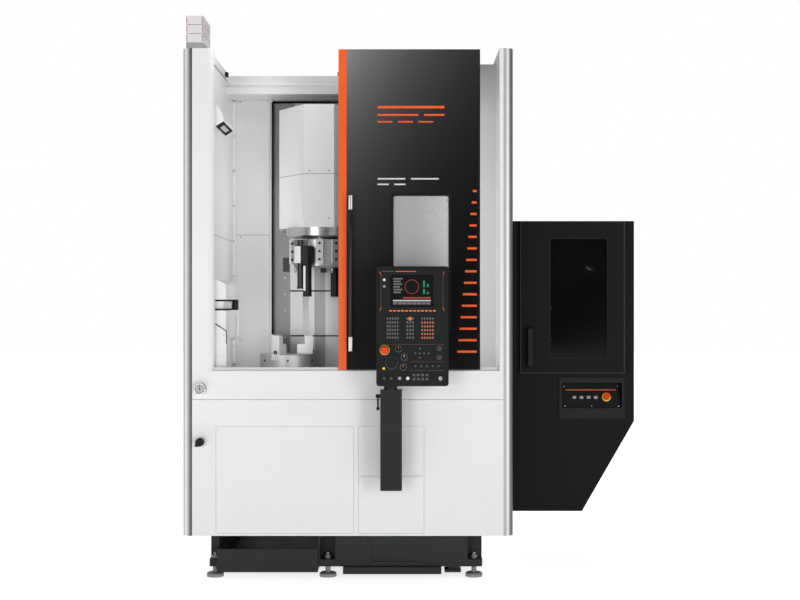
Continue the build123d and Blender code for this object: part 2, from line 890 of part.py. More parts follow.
# Chamber guard: a tray with walls, open at the front, the rear and the top
guard_front = front + frame_depth
with BuildPart() as chamber_guard:
    block((opening_left - sheet, guard_right + sheet), (guard_front, guard_back + sheet),
          (guard_floor, guard_left_top))
    offset(amount=-sheet, openings=chamber_guard.faces().sort_by(Axis.Z)[-1], kind=Kind.INTERSECTION)
    block((opening_left, guard_right + sheet + overcut),
          (guard_front - overcut, guard_front + sheet + overcut),
          (sill_height, inset_top + overcut), Mode.SUBTRACT)
    block((guard_right - overcut, guard_right + sheet + overcut),
          (guard_front - overcut, front + inset_depth + sheet),
          (sill_height, inset_top + overcut), Mode.SUBTRACT)
    block((wiper_left, wiper_right), (guard_back - overcut, guard_back + sheet + overcut),
          (cover_plate_bottom, inset_top + overcut), Mode.SUBTRACT)
    block((opening_left - guard_flange, opening_left), (guard_front, beam_front),
          (guard_left_top - sheet, guard_left_top))
    block((opening_left - guard_flange - overcut, guard_right + sheet + overcut),
          (beam_front, guard_back + sheet + overcut),
          (beam_bottom, guard_left_top + overcut), Mode.SUBTRACT)
    extrude(disc(level(guard_floor - overcut), spindle_place, headstock_radius + running_gap),
            amount=sheet + overcut * 2, mode=Mode.SUBTRACT)
    block((opening_left + chute_margin, opening_left + chute_margin + chute_width),
          (spindle_y - chute_length / 2, spindle_y + chute_length / 2),
          (guard_floor - overcut, guard_floor + sheet + overcut), Mode.SUBTRACT)
    setter_points = [(opening_left, setter_bottom),
                     (opening_left + setter_reach - setter_chamfer, setter_bottom),
                     (opening_left + setter_reach, setter_bottom + setter_chamfer),
                     (opening_left + setter_reach, setter_top - setter_slope), (opening_left, setter_top)]
    extrude(outline(front_plane(front + setter_start), setter_points), amount=-setter_length)
    block((opening_left + setter_reach - setter_slot_deep, opening_left + setter_reach + overcut),
          (front + setter_start - overcut, front + setter_start + setter_slot_length),
          (setter_slot_low, setter_slot_high), Mode.SUBTRACT)
    block((opening_left, opening_left + setter_reach + overcut),
          (front + setter_start - overcut, front + setter_start + setter_slot_deep),
          (setter_slot_low, setter_slot_high), Mode.SUBTRACT)
save(chamber_guard, "chamber_guard")

# Inset panel beside the opening: a niche behind the open door, closed over the chamber
inset_face = front + inset_depth
with BuildPart() as inset_panel:
    inset_bend = [(inset_left, front + frame_depth), (inset_left, inset_face), (inset_right, inset_face),
                  (inset_right, front + frame_depth)]
    extrude(folded(level(sill_height), inset_bend, Side.LEFT), amount=inset_top - sill_height)
    block((inset_left - sheet, inset_right + sheet), (inset_face, beam_front),
          (inset_top - sheet, inset_top))
    block((inset_left - sheet, guard_right), (front + frame_depth + sheet, inset_face + sheet),
          (sill_height - sheet, sill_height))
    block((guard_right + sheet, inset_right + sheet), (front + frame_depth, inset_face + sheet),
          (sill_height - sheet, sill_height))
save(inset_panel, "inset_panel")

# Top beam with its stepped face, the rear roof and the sheet down to the electrical cabinet
with BuildPart() as top_beam:
    beam_bend = [(guard_back, beam_bottom), (beam_front, beam_bottom), (beam_front, beam_step_low),
                 (beam_front + beam_step, beam_step_low), (beam_front + beam_step, beam_step_high),
                 (beam_front, beam_step_high), (beam_front, beam_top), (body_back - sheet, beam_top)]
    extrude(folded(side_plane(body_left + sheet), beam_bend, Side.RIGHT), amount=body_width - sheet * 2)
    block((body_left + sheet, body_right - sheet), (body_back - sheet, body_back),
          (electrical_top, beam_top))
save(top_beam, "top_beam")

# Work light with a sloped face, falling away towards the back
light_place = opening_left
light_bottom = light_top - light_height
with BuildPart() as work_light:
    light_points = [(light_place, light_bottom), (light_place + light_reach, light_bottom + light_lip),
                    (light_place + light_reach, light_bottom + light_lip + light_edge),
                    (light_place + light_neck, light_top), (light_place, light_top)]
    extrude(outline(front_plane(front + light_start), light_points), amount=-light_length)
    light_front = front + light_start
    light_back = light_front + light_length
    fall_points = [(light_front, light_top), (light_back, light_top - light_fall), (light_back, light_top)]
    extrude(outline(side_plane(light_place), fall_points), amount=light_reach, mode=Mode.SUBTRACT)
save(work_light, "work_light")

# Front door with its roof plate, the window opening and the bottom groove
window_left = door_left + window_inset
window_top = door_top - window_top_drop
window_bottom = window_top - window_height
window_spans = ((window_left, window_left + window_width), (window_bottom, window_top))
roof_back = front + roof_reach
leaf_left = door_left + trim_width
with BuildPart() as front_door:
    block((leaf_left, door_right), (door_front, door_back), (door_bottom, door_top))
    fillet(front_door.edges().filter_by(Axis.Z).sort_by_distance((door_right, door_front, door_top))[0],
           door_round)
    block((leaf_left + door_border, door_right - door_border), (door_front + sheet, door_back + overcut),
          (door_bottom + door_border, door_top - door_border), Mode.SUBTRACT)
    ring_spans = tuple((low - window_frame, high + window_frame) for low, high in window_spans)
    block(ring_spans[0], (door_front, door_back), ring_spans[1])
    block((door_left, leaf_left), (door_front + trim_thick, door_back), (door_bottom, door_top))
    block((door_left, door_right), (door_back, roof_back), (door_top - roof_plate, door_top))
    extrude(rounded(front_plane(door_front - overcut), *window_spans, window_corner),
            amount=-door_thick - overcut * 2,
            mode=Mode.SUBTRACT)
    rebate_spans = tuple((low - window_rebate, high + window_rebate) for low, high in window_spans)
    extrude(rounded(front_plane(door_front + glass_setback), *rebate_spans, window_corner),
            amount=-door_thick - overcut, mode=Mode.SUBTRACT)
    block((door_left - overcut, door_right + overcut),
          (front + rail_setback - running_gap, front + rail_setback + rail_width + running_gap),
          (door_bottom - overcut, sill_height + rail_height + running_gap), Mode.SUBTRACT)
save(front_door, "front_door")

with BuildPart() as door_edge_trim:
    block((door_left, leaf_left), (door_front, door_front + trim_thick), (door_bottom, door_top))
    fillet(door_edge_trim.edges().filter_by(Axis.Z).sort_by_distance((door_left, door_front,
                                                                      door_top))[0], door_round)
    block((door_left - overcut, door_right + overcut),
          (front + rail_setback - running_gap, front + rail_setback + rail_width + running_gap),
          (door_bottom - overcut, sill_height + rail_height + running_gap), Mode.SUBTRACT)
save(door_edge_trim, "door_edge_trim")

with BuildPart() as door_window:
    extrude(rounded(front_plane(door_front + glass_setback), *rebate_spans, window_corner),
            amount=-glass_thick)
save(door_window, "door_window")

# Door rollers under the roof plate, running on the beam
with BuildPart() as door_rollers:
    roller_xs = (door_left, door_left + door_width * roller_spread_share)
    for roller_x in roller_xs:
        block((roller_x - roller_arm, roller_x + roller_arm),
              (roof_back - roller_width, roof_back - roller_width + roller_arm_thick),
              (beam_top + running_gap + roller_radius, door_top - roof_plate))
        for wheel_x in (roller_x - roller_arm + roller_radius, roller_x + roller_arm - roller_radius):
            extrude(disc(front_plane(roof_back - roller_width),
                         (wheel_x,
                          beam_top + running_gap + roller_radius), roller_radius), amount=-roller_width)
save(door_rollers, "door_rollers")

# Door handle: an upright bar between two feet
handle_left = door_left + handle_inset - handle_width / 2
handle_top = door_top - handle_top_drop
handle_bottom = handle_top - handle_length
handle_x = handle_left + handle_width / 2
handle_bar_y = door_front - handle_reach + handle_width / 2
with BuildPart() as door_handle:
    for foot_low in (handle_bottom, handle_top - handle_foot):
        block((handle_left, handle_left + handle_width), (door_front - handle_reach, door_front),
              (foot_low, foot_low + handle_foot))
    fillet(door_handle.edges().filter_by(Axis.Z).group_by(Axis.Y)[0], handle_round)
    extrude(disc(level(handle_bottom + handle_foot), (handle_x, handle_bar_y), handle_bar_radius),
            amount=handle_length - handle_foot * 2)
save(door_handle, "door_handle")

# X saddle: a channel for the ram and shoes round both ways
with BuildPart() as x_saddle:
    saddle_span = (turret_x - saddle_half, turret_x + saddle_half)
    block(saddle_span, (front + saddle_front, front + saddle_back), (saddle_bottom, saddle_top))
    ram_gap_half = ram_half + running_gap
    channel = [(turret_x - ram_gap_half, front + saddle_front - overcut),
               (turret_x + ram_gap_half, front + saddle_front - overcut),
               (turret_x + ram_gap_half, front + ram_back - ram_key_depth - running_gap),
               (turret_x + ram_gap_half + ram_key, front + ram_back - ram_key_depth - running_gap),
               (turret_x + ram_gap_half + ram_key, front + ram_back + running_gap),
               (turret_x - ram_gap_half - ram_key, front + ram_back + running_gap),
               (turret_x - ram_gap_half - ram_key, front + ram_back - ram_key_depth - running_gap),
               (turret_x - ram_gap_half, front + ram_back - ram_key_depth - running_gap)]
    extrude(outline(level(saddle_bottom - overcut), channel),
            amount=saddle_top - saddle_bottom + overcut * 2,
            mode=Mode.SUBTRACT)
    for way_z in (lower_way, upper_way):
        shoe_half = way_height / 2 + shoe_wall
        block(saddle_span, (front + saddle_back, column_face - seam),
              (way_z - shoe_half, way_z + shoe_half))
        shoe_face = way_face - running_gap
        lip_face = way_face + way_lip + running_gap
        slot_half = way_height / 2 + running_gap
        neck_half = way_neck / 2 + running_gap
        slot_points = [(shoe_face, way_z - slot_half), (lip_face, way_z - slot_half),
                       (lip_face, way_z - neck_half),
                       (column_face + overcut, way_z - neck_half), (column_face + overcut,
                                                                    way_z + neck_half),
                       (lip_face, way_z + neck_half), (lip_face, way_z + slot_half), (shoe_face,
                                                                                      way_z + slot_half)]
        extrude(outline(side_plane(turret_x - saddle_half - overcut), slot_points),
                amount=saddle_half * 2 + overcut * 2, mode=Mode.SUBTRACT)
    arm_back = front + saddle_front
    for arm_z in (saddle_bottom, saddle_top - shoe_wall):
        for arm_side in (turret_x - saddle_half, turret_x + ram_gap_half):
            block((arm_side, arm_side + saddle_half - ram_gap_half),
                  (front + cover_plate_depth + sheet, arm_back),
                  (arm_z, arm_z + shoe_wall))
save(x_saddle, "x_saddle")

# X cover plate behind the chamber wipers, slotted for the turret neck
neck_half_width = ram_half
plate_face = front + cover_plate_depth
with BuildPart() as x_cover:
    plate_left = wiper_left - x_travel - wiper_overlap
    plate_right = wiper_right + x_back_travel + wiper_overlap
    block((plate_left, plate_right), (plate_face, plate_face + sheet),
          (cover_plate_bottom, cover_plate_top))
    block((turret_x - neck_half_width - neck_slot_gap, turret_x + neck_half_width + neck_slot_gap),
          (plate_face - overcut, plate_face + sheet + overcut),
          (neck_bottom - z_travel - neck_slot_gap, neck_top + neck_slot_gap), Mode.SUBTRACT)
save(x_cover, "x_cover")


def z_cover(layer, z_low, z_high):
    """One telescopic cover: a hat-shaped sheet standing in front of the cover plate."""
    place = plate_face - z_sheet - layer * (z_sheet + z_step_gap)
    bend = [(turret_x - z_cover_half, place), (turret_x - z_cover_rise_half - z_cover_slope, place),
            (turret_x - z_cover_rise_half, place - z_cover_rise), (turret_x + z_cover_rise_half,
                                                                   place - z_cover_rise),
            (turret_x + z_cover_rise_half + z_cover_slope, place), (turret_x + z_cover_half, place)]
    extrude(folded(level(z_low), bend, Side.LEFT, z_sheet), amount=z_high - z_low)


with BuildPart() as z_cover_lower:
    z_cover(0, cover_plate_bottom, z_middle_bottom + z_cover_overlap)
save(z_cover_lower, "z_cover_lower")

with BuildPart() as z_cover_middle:
    z_cover(1, z_middle_bottom, z_upper_bottom + z_cover_overlap)
save(z_cover_middle, "z_cover_middle")

with BuildPart() as z_cover_upper:
    z_cover(2, z_upper_bottom, neck_bottom)
save(z_cover_upper, "z_cover_upper")

# Ram with its keys, the neck through the plate and the turret head under the hood
turret_place = (turret_x, turret_y)
with BuildPart() as ram:
    ram_points = [(turret_x - ram_half, front + ram_front), (turret_x + ram_half, front + ram_front),
                  (turret_x + ram_half, front + ram_back - ram_key_depth),
                  (turret_x + ram_half + ram_key, front + ram_back - ram_key_depth),
                  (turret_x + ram_half + ram_key, front + ram_back), (turret_x - ram_half - ram_key,
                                                                      front + ram_back),
                  (turret_x - ram_half - ram_key, front + ram_back - ram_key_depth),
                  (turret_x - ram_half, front + ram_back - ram_key_depth)]
    extrude(outline(level(ram_bottom), ram_points), amount=ram_top - ram_bottom)
    block((turret_x - neck_half_width, turret_x + neck_half_width), (turret_y, front + ram_front),
          (neck_bottom, neck_top))
    extrude(disc(level(hood_bottom), turret_place, head_radius), amount=head_top - hood_bottom)
    extrude(disc(level(head_top), turret_place, motor_radius), amount=motor_height)
    extrude(disc(level(hood_bottom - ring_height), turret_place, ring_radius), amount=ring_height)
    chamfer(ram.edges().filter_by(GeomType.CIRCLE).group_by(Axis.Z)[0], ring_bevel)
    extrude(disc(level(hood_bottom - ring_height), turret_place, drum_axle_radius + running_gap),
            amount=ring_height, mode=Mode.SUBTRACT)
save(ram, "ram")

# Turret hood: faceted sheet cover, open below and behind
hood_front = front + hood_front_depth
hood_bevel_end = hood_front + hood_bevel_depth
hood_back = front + hood_back_depth
with BuildPart() as turret_hood:
    hood_points = [(turret_x - hood_front_half, hood_front), (turret_x + hood_front_half, hood_front),
                   (turret_x + hood_rear_half, hood_bevel_end), (turret_x + hood_rear_half, hood_back),
                   (turret_x - hood_rear_half, hood_back), (turret_x - hood_rear_half, hood_bevel_end)]
    extrude(outline(level(hood_bottom), hood_points), amount=hood_top - hood_bottom)
    offset(amount=-sheet,
           openings=[turret_hood.faces().sort_by(Axis.Z)[0], turret_hood.faces().sort_by(Axis.Y)[-1]],
           kind=Kind.INTERSECTION)
    for flange_x in (turret_x - hood_rear_half - hood_flange, turret_x + hood_rear_half):
        block((flange_x, flange_x + hood_flange), (hood_back - hood_flange_thick, hood_back),
              (hood_bottom, hood_top - hood_flange_drop))
    extrude(outline(level(hood_bottom), hood_points), amount=sheet)
    extrude(disc(level(hood_bottom), turret_place, head_radius), amount=sheet, mode=Mode.SUBTRACT)
    block((turret_x - neck_half_width, turret_x + neck_half_width), (turret_y, hood_back + overcut),
          (hood_bottom - overcut, hood_bottom + sheet + overcut), Mode.SUBTRACT)
save(turret_hood, "turret_hood")

# Turret drum: a round core with twelve raised tool blocks, flats between them and an axle
drum_top = hood_bottom - ring_height - drum_top_gap
station_pitch = 360 / station_count
with BuildPart() as turret_drum:
    extrude(disc(level(drum_bottom), turret_place, drum_core_radius), amount=drum_top - drum_bottom)
    for number in range(station_count):
        angle = number * station_pitch - 90
        block_plane = Plane((turret_x, turret_y, drum_bottom), x_dir=(*around(angle, 1), 0),
                            z_dir=(0, 0, 1))
        block_points = [(drum_core_radius - block_width / 2, -block_width / 2),
                        (block_radius, -block_width / 2),
                        (block_radius, block_width / 2), (drum_core_radius - block_width / 2,
                                                          block_width / 2)]
        extrude(outline(block_plane, block_points), amount=drum_top - drum_bottom)
    extrude(disc(level(drum_bottom - under_plate), turret_place, under_plate_radius), amount=under_plate)
    chamfer(turret_drum.edges().filter_by(GeomType.CIRCLE).group_by(Axis.Z)[0], under_bevel)
    extrude(disc(level(drum_top), turret_place, drum_axle_radius),
            amount=hood_bottom - drum_top - running_gap)
save(turret_drum, "turret_drum")

# Tools: block holders with round bars and square shanks, and short tools between
holder_angles = (-120.0, 0.0, 60.0)
short_angles = (180.0, 90.0)
with BuildPart() as turret_tools:
    for angle in holder_angles:
        out = (*around(angle, 1), 0)
        holder_plane = Plane((turret_x, turret_y, drum_bottom), x_dir=out, z_dir=(0, 0, 1))
        inner = block_radius
        outer = block_radius + holder_depth
        low = holder_shift - holder_width / 2
        high = holder_shift + holder_width / 2
        extrude(outline(holder_plane, [(inner, low), (outer, low), (outer, high), (inner, high)]),
                amount=holder_height)
        middle = (inner + outer) / 2
        bar_plane = Plane((turret_x, turret_y, bar_bottom), x_dir=out, z_dir=(0, 0, 1))
        extrude(disc(bar_plane, (middle, holder_shift - bar_offset), bar_radius - bar_neck),
                amount=drum_bottom + holder_height + bar_top_lift - bar_bottom)
        extrude(disc(bar_plane, (middle, holder_shift - bar_offset), bar_radius), amount=bar_tip)
        tool_plane = Plane((turret_x, turret_y, tool_bottom), x_dir=out, z_dir=(0, 0, 1))
        shank_low = holder_shift + tool_offset - tool_width / 2
        shank = [(middle - tool_depth / 2, shank_low), (middle + tool_depth / 2, shank_low),
                 (middle + tool_depth / 2, shank_low + tool_width), (middle - tool_depth / 2,
                                                                     shank_low + tool_width)]
        extrude(outline(tool_plane, shank), amount=drum_bottom - tool_bottom)
    for angle in short_angles:
        short_plane = Plane((turret_x, turret_y, drum_bottom - short_tool_drop),
                            x_dir=(*around(angle, 1), 0), z_dir=(0, 0, 1))
        short_points = [(block_radius, -short_tool_width / 2),
                        (block_radius + short_tool, -short_tool_width / 2),
                        (block_radius + short_tool, short_tool_width / 2), (block_radius,
                                                                            short_tool_width / 2)]
        extrude(outline(short_plane, short_points), amount=short_tool_drop + short_tool)
save(turret_tools, "turret_tools")

# Electrical cabinet: a closed box with a lipped door opening at the back
switch_height = switch_plate_height + switch_grip_height
electrical_back = body_back + electrical_depth - electrical_door_thick - back_gap - switch_height
electrical_door_left = body_left + electrical_door_side
electrical_door_right = electrical_door_left + electrical_door_width
electrical_door_low = electrical_bottom + electrical_door_rise
electrical_door_high = electrical_door_low + electrical_door_height
hinge_x = electrical_door_right + hinge_radius - hinge_bite
hinge_y = electrical_back + back_gap + hinge_radius
door_centre_z = (electrical_door_low + electrical_door_high) / 2
with BuildPart() as electrical_cabinet:
    block((body_left, body_right), (body_back, electrical_back), (electrical_bottom, electrical_top))
    block((body_left + sheet, body_right - sheet), (body_back + sheet, electrical_back - sheet),
          (electrical_bottom + sheet, electrical_top - sheet), Mode.SUBTRACT)
    block((electrical_door_left + electrical_lip, electrical_door_right - electrical_lip),
          (electrical_back - sheet - overcut, electrical_back + overcut),
          (electrical_door_low + electrical_lip, electrical_door_high - electrical_lip), Mode.SUBTRACT)
    hinge_pins(hinge_x, hinge_y, electrical_back, door_centre_z, electrical_door_height * hinge_share)
save(electrical_cabinet, "electrical_cabinet")

with BuildPart() as electrical_door:
    block((electrical_door_left, electrical_door_right),
          (electrical_back + back_gap, electrical_back + back_gap + electrical_door_thick),
          (electrical_door_low, electrical_door_high))
    block((electrical_door_left + electrical_lip, electrical_door_right - electrical_lip),
          (electrical_back, electrical_back + back_gap + electrical_door_thick - sheet),
          (electrical_door_low + electrical_lip, electrical_door_high - electrical_lip), Mode.SUBTRACT)
    for end in (-1, 1):
        knuckle_z = door_centre_z + end * electrical_door_height * hinge_share / 2 - hinge_length / 2
        extrude(disc(level(knuckle_z), (hinge_x, hinge_y), hinge_radius), amount=hinge_length)
save(electrical_door, "electrical_door")

switch_x = electrical_door_left + switch_side
switch_z = electrical_door_low + electrical_door_height * switch_rise_share
switch_face = electrical_back + back_gap + electrical_door_thick
with BuildPart() as main_switch:
    extrude(disc(front_plane(switch_face), (switch_x, switch_z), switch_plate_radius),
            amount=-switch_plate_height)
    block((switch_x - switch_grip_width / 2, switch_x + switch_grip_width / 2),
          (switch_face + switch_plate_height, switch_face + switch_plate_height + switch_grip_height),
          (switch_z - switch_grip_length / 2, switch_z + switch_grip_length / 2))
    fillet(main_switch.edges().filter_by(Axis.Y).filter_by(GeomType.LINE), switch_round)
save(main_switch, "main_switch")

# Signal tower on the left pillar
tower_left = body_left + tower_inset
tower_spans = ((tower_left, tower_left + tower_width),
               (front + tower_setback, front + tower_setback + tower_depth))
tower_floor = body_height + tower_base
with BuildPart() as signal_tower_base:
    extrude(rounded(level(body_height), *tower_spans, tower_round), amount=tower_base)
    core_spans = tuple((low + tower_core_inset, high - tower_core_inset) for low, high in tower_spans)
    extrude(rounded(level(tower_floor), *core_spans, tower_core_round),
            amount=(tower_tier + tower_tier_gap) * tower_tier_count - tower_tier_gap)
save(signal_tower_base, "signal_tower_base")

with BuildPart() as signal_tower_lenses:
    for number in range(tower_tier_count):
        tier_floor = tower_floor + number * (tower_tier + tower_tier_gap)
        extrude(rounded(level(tier_floor), *tower_spans, tower_round), amount=tower_tier)
        extrude(rounded(level(tier_floor), *core_spans, tower_core_round), amount=tower_tier,
                mode=Mode.SUBTRACT)
save(signal_tower_lenses, "signal_tower_lenses")

# Pressure gauge and pressure knob on the left of the front
gauge_place = (body_left + gauge_inset, gauge_height)
with BuildPart() as pressure_gauge:
    extrude(disc(front_plane(front), gauge_place, gauge_radius), amount=gauge_depth)
    chamfer(pressure_gauge.edges().sort_by(Axis.Y)[0], gauge_bezel / 2)
    extrude(disc(front_plane(front - gauge_depth), gauge_place, gauge_radius - gauge_bezel),
            amount=-gauge_recess,
            mode=Mode.SUBTRACT)
save(pressure_gauge, "pressure_gauge")

knob_place = (body_left + knob_inset, knob_height)
lobe_at = around(knob_lobe_angle, knob_radius)
with BuildPart() as pressure_knob:
    extrude(disc(front_plane(front - running_gap), knob_place, knob_stem_radius), amount=knob_stem)
    extrude(disc(front_plane(front - knob_stem), knob_place, knob_radius), amount=knob_depth)
    chamfer(pressure_knob.edges().filter_by(GeomType.CIRCLE).sort_by(Axis.Y)[0], knob_bevel)
    extrude(disc(front_plane(front - knob_stem), (knob_place[0] + lobe_at[0], knob_place[1] + lobe_at[1]),
                 knob_lobe_radius),
            amount=knob_depth - knob_bevel)
save(pressure_knob, "pressure_knob")

# Side cabinet: slanted box with a door opening and a console opening
side_back = side_front + side_length
side_door_left = body_right + side_door_left_margin
side_door_right = side_right - side_door_right_margin
side_door_high = side_top - side_door_drop
console_x = body_right + console_left
side_door_back = side_front - seam / 2
side_hinge_x = side_door_right + hinge_radius - hinge_bite
side_hinge_y = side_door_back - hinge_radius
side_door_middle = (side_door_bottom + side_door_high) / 2
with BuildPart() as side_cabinet:
    side_points = [(body_right, side_bottom), (side_right - side_slant_width, side_bottom),
                   (side_right, side_slant_height),
                   (side_right, side_top), (body_right, side_top)]
    extrude(outline(front_plane(side_front), side_points), amount=-side_length)
    with BuildSketch(front_plane(side_front + sheet)) as hollow:
        with BuildLine():
            Polyline(*side_points, close=True)
        make_face()
        offset(amount=-sheet, kind=Kind.INTERSECTION)
    extrude(hollow.sketch, amount=sheet * 2 - side_length, mode=Mode.SUBTRACT)
    block((side_door_left + side_door_lip, side_door_right - side_door_lip),
          (side_front - overcut, side_front + sheet + overcut),
          (side_door_bottom + side_door_lip, side_door_high - side_door_lip), Mode.SUBTRACT)
    block((console_x + console_frame, console_x + console_width - console_frame),
          (side_front - overcut, side_front + sheet + overcut),
          (console_bottom + console_frame, console_top - console_frame), Mode.SUBTRACT)
    hinge_pins(side_hinge_x, side_hinge_y, side_front, side_door_middle,
               (side_door_high - side_door_bottom) * hinge_share)
save(side_cabinet, "side_cabinet")

side_door_front = side_front - side_door_thick - seam / 2
side_window_x = body_right + side_window_left + side_door_left_margin
side_window_spans = ((side_window_x, side_window_x + side_window_width),
                     (side_window_bottom, side_window_top))
side_rebate_spans = tuple((low - side_glass_rebate, high + side_glass_rebate) for low,
                          high in side_window_spans)
with BuildPart() as side_door:
    block((side_door_left, side_door_right), (side_door_front, side_door_back),
          (side_door_bottom, side_door_high))
    fillet(side_door.edges().filter_by(Axis.Z).group_by(Axis.Y)[0], side_door_round)
    extrude(rounded(front_plane(side_door_front - overcut), *side_window_spans, side_window_corner),
            amount=-side_door_thick - overcut * 2, mode=Mode.SUBTRACT)
    extrude(rounded(front_plane(side_door_front + side_glass), *side_rebate_spans, side_window_corner),
            amount=-side_door_thick - overcut, mode=Mode.SUBTRACT)
    for end in (-1, 1):
        knuckle_middle = side_door_middle + end * (side_door_high - side_door_bottom) * hinge_share / 2
        knuckle_z = knuckle_middle - hinge_length / 2
        extrude(disc(level(knuckle_z), (side_hinge_x, side_hinge_y), hinge_radius), amount=hinge_length)
save(side_door, "side_door")

with BuildPart() as side_window:
    extrude(rounded(front_plane(side_door_front + side_glass), *side_rebate_spans, side_window_corner),
            amount=-side_glass)
save(side_window, "side_window")

side_handle_x = side_door_left + side_handle_left
with BuildPart() as side_handle:
    handle_side = [(side_door_front, side_handle_low),
                   (side_door_front - side_handle_reach, side_handle_low),
                   (side_door_front - side_handle_reach, side_handle_high), (side_door_front,
                                                                             side_handle_high),
                   (side_door_front, side_handle_high - side_handle_foot),
                   (side_door_front - side_handle_reach + side_handle_bar,
                    side_handle_high - side_handle_foot),
                   (side_door_front - side_handle_reach + side_handle_bar,
                    side_handle_low + side_handle_foot),
                   (side_door_front, side_handle_low + side_handle_foot)]
    extrude(outline(side_plane(side_handle_x), handle_side), amount=side_handle_width)
    fillet(side_handle.edges().filter_by(Axis.X).group_by(Axis.Y)[0], side_handle_bar / 2)
save(side_handle, "side_handle")

# Side console: a framed trough with a tilted face, film keys and an emergency stop
console_front = side_front - console_plate
trough_left = console_x + console_frame
trough_right = console_x + console_width - console_frame
trough_low = console_bottom + console_low_edge
trough_high = console_top - console_high_edge
tilt_fall = console_deep - console_shallow
with BuildPart() as side_console:
    extrude(rounded(front_plane(console_front), (console_x, console_x + console_width),
                    (console_bottom, console_top),
                    console_corner), amount=-console_plate)
    block((trough_left + running_gap, trough_right - running_gap),
          (side_front, side_front + console_deep + sheet),
          (console_bottom + console_frame + running_gap, console_top - console_frame - running_gap))
    trough = [(console_front - overcut, trough_low), (console_front + console_shallow, trough_low),
              (console_front + console_deep, trough_high), (console_front - overcut, trough_high)]
    extrude(outline(side_plane(trough_left), trough), amount=trough_right - trough_left,
            mode=Mode.SUBTRACT)
    tilt_up = (0, tilt_fall, trough_high - trough_low)
    tilt_plane = Plane((console_x, console_front + console_shallow, trough_low), x_dir=(1, 0, 0),
                       z_dir=(0, -(trough_high - trough_low), tilt_fall))
    with BuildSketch(tilt_plane) as console_keys:
        for number in range(4):
            with Locations((console_key_start + number * console_key_pitch,
                            console_key_rise - console_low_edge)):
                RectangleRounded(console_key, console_key, console_key_round)
    extrude(console_keys.sketch, amount=console_key_height)
    stop_local = (console_stop_left, console_stop_rise - console_low_edge)
    extrude(disc(tilt_plane, stop_local, console_stop_radius), amount=console_stop_collar)
    extrude(disc(tilt_plane, stop_local, console_stop_stem_radius + running_gap),
            amount=console_stop_collar, mode=Mode.SUBTRACT)
save(side_console, "side_console")

stop_plane = tilt_plane.offset(console_stop_collar)
cap_plane = stop_plane.offset(console_stop_travel + running_gap)
with BuildPart() as side_estop:
    extrude(disc(cap_plane, stop_local, console_stop_radius),
            amount=console_stop_height - console_stop_travel)
    extrude(disc(tilt_plane.offset(console_stop_travel + running_gap), stop_local,
                 console_stop_stem_radius),
            amount=console_stop_collar)
save(side_estop, "side_estop")

# Coolant hose inside the side cabinet with two clamps on its back wall
hose_x = body_right + hose_from_left
hose_y = side_back - sheet - hose_radius - clamp_reach
with BuildPart() as coolant_hose:
    with BuildLine() as hose_path:
        FilletPolyline((body_right + sheet, hose_y, hose_level + hose_bend * 2),
                       (hose_x, hose_y, hose_level + hose_bend * 2),
                       (hose_x, hose_y, hose_foot), radius=hose_bend)
    with BuildSketch(Plane((body_right + sheet, hose_y, hose_level + hose_bend * 2), x_dir=(0, 1, 0),
                           z_dir=(1, 0, 0))):
        Circle(hose_radius)
    sweep()
    for clamp_z in clamp_levels:
        block((hose_x - hose_radius, hose_x + hose_radius), (hose_y, side_back - sheet),
              (clamp_z - clamp_height / 2, clamp_z + clamp_height / 2))
save(coolant_hose, "coolant_hose")

# Pendant post: a tall box on two brackets
post_left_x = pendant_x - post_box_left_reach
post_front_y = pendant_y - post_box_ahead
post_back_y = post_front_y + post_box_depth
post_box_height = post_box_top - post_box_bottom
with BuildPart() as pendant_post:
    block((post_left_x, post_left_x + post_box_width), (post_front_y, post_back_y),
          (post_box_bottom, post_box_top))
    fillet(pendant_post.edges().filter_by(Axis.Z), post_box_round)
    for bracket_share in (bracket_low_share, bracket_high_share):
        bracket_z = post_box_bottom + post_box_height * bracket_share
        bracket_left = post_left_x + (post_box_width - bracket_width) / 2
        block((bracket_left, bracket_left + bracket_width), (post_back_y - post_box_round, front),
              (bracket_z, bracket_z + bracket_height))
    extrude(disc(level(post_box_top), (pendant_x, pendant_y), neck_radius), amount=neck_collar)
save(pendant_post, "pendant_post")

lever_x = post_left_x - running_gap
lever_z = post_box_top - lever_drop
with BuildPart() as pendant_lever:
    extrude(disc(side_plane(lever_x), (pendant_y, lever_z), lever_hub_radius), amount=-lever_hub_length)
    lever_place = (lever_x - lever_hub_length / 2, pendant_y)
    extrude(disc(level(lever_z), lever_place, lever_arm_radius), amount=-lever_arm_length)
    with Locations((lever_place[0], lever_place[1], lever_z - lever_arm_length)):
        Sphere(lever_knob_radius)
save(pendant_lever, "pendant_lever")


def on_panel(share):
    """A place on the pendant's face, from its shares of the width and of the height below the top."""
    return (pendant_left + pendant_width * share[0], pendant_top - pendant_height * share[1])


def panel_span(shares):
    """Two pairs of places on the pendant's face from four shares."""
    left_edge, high_edge = on_panel((shares[0], shares[2]))
    right_edge, low_edge = on_panel((shares[1], shares[3]))
    return ((left_edge, right_edge), (low_edge, high_edge))


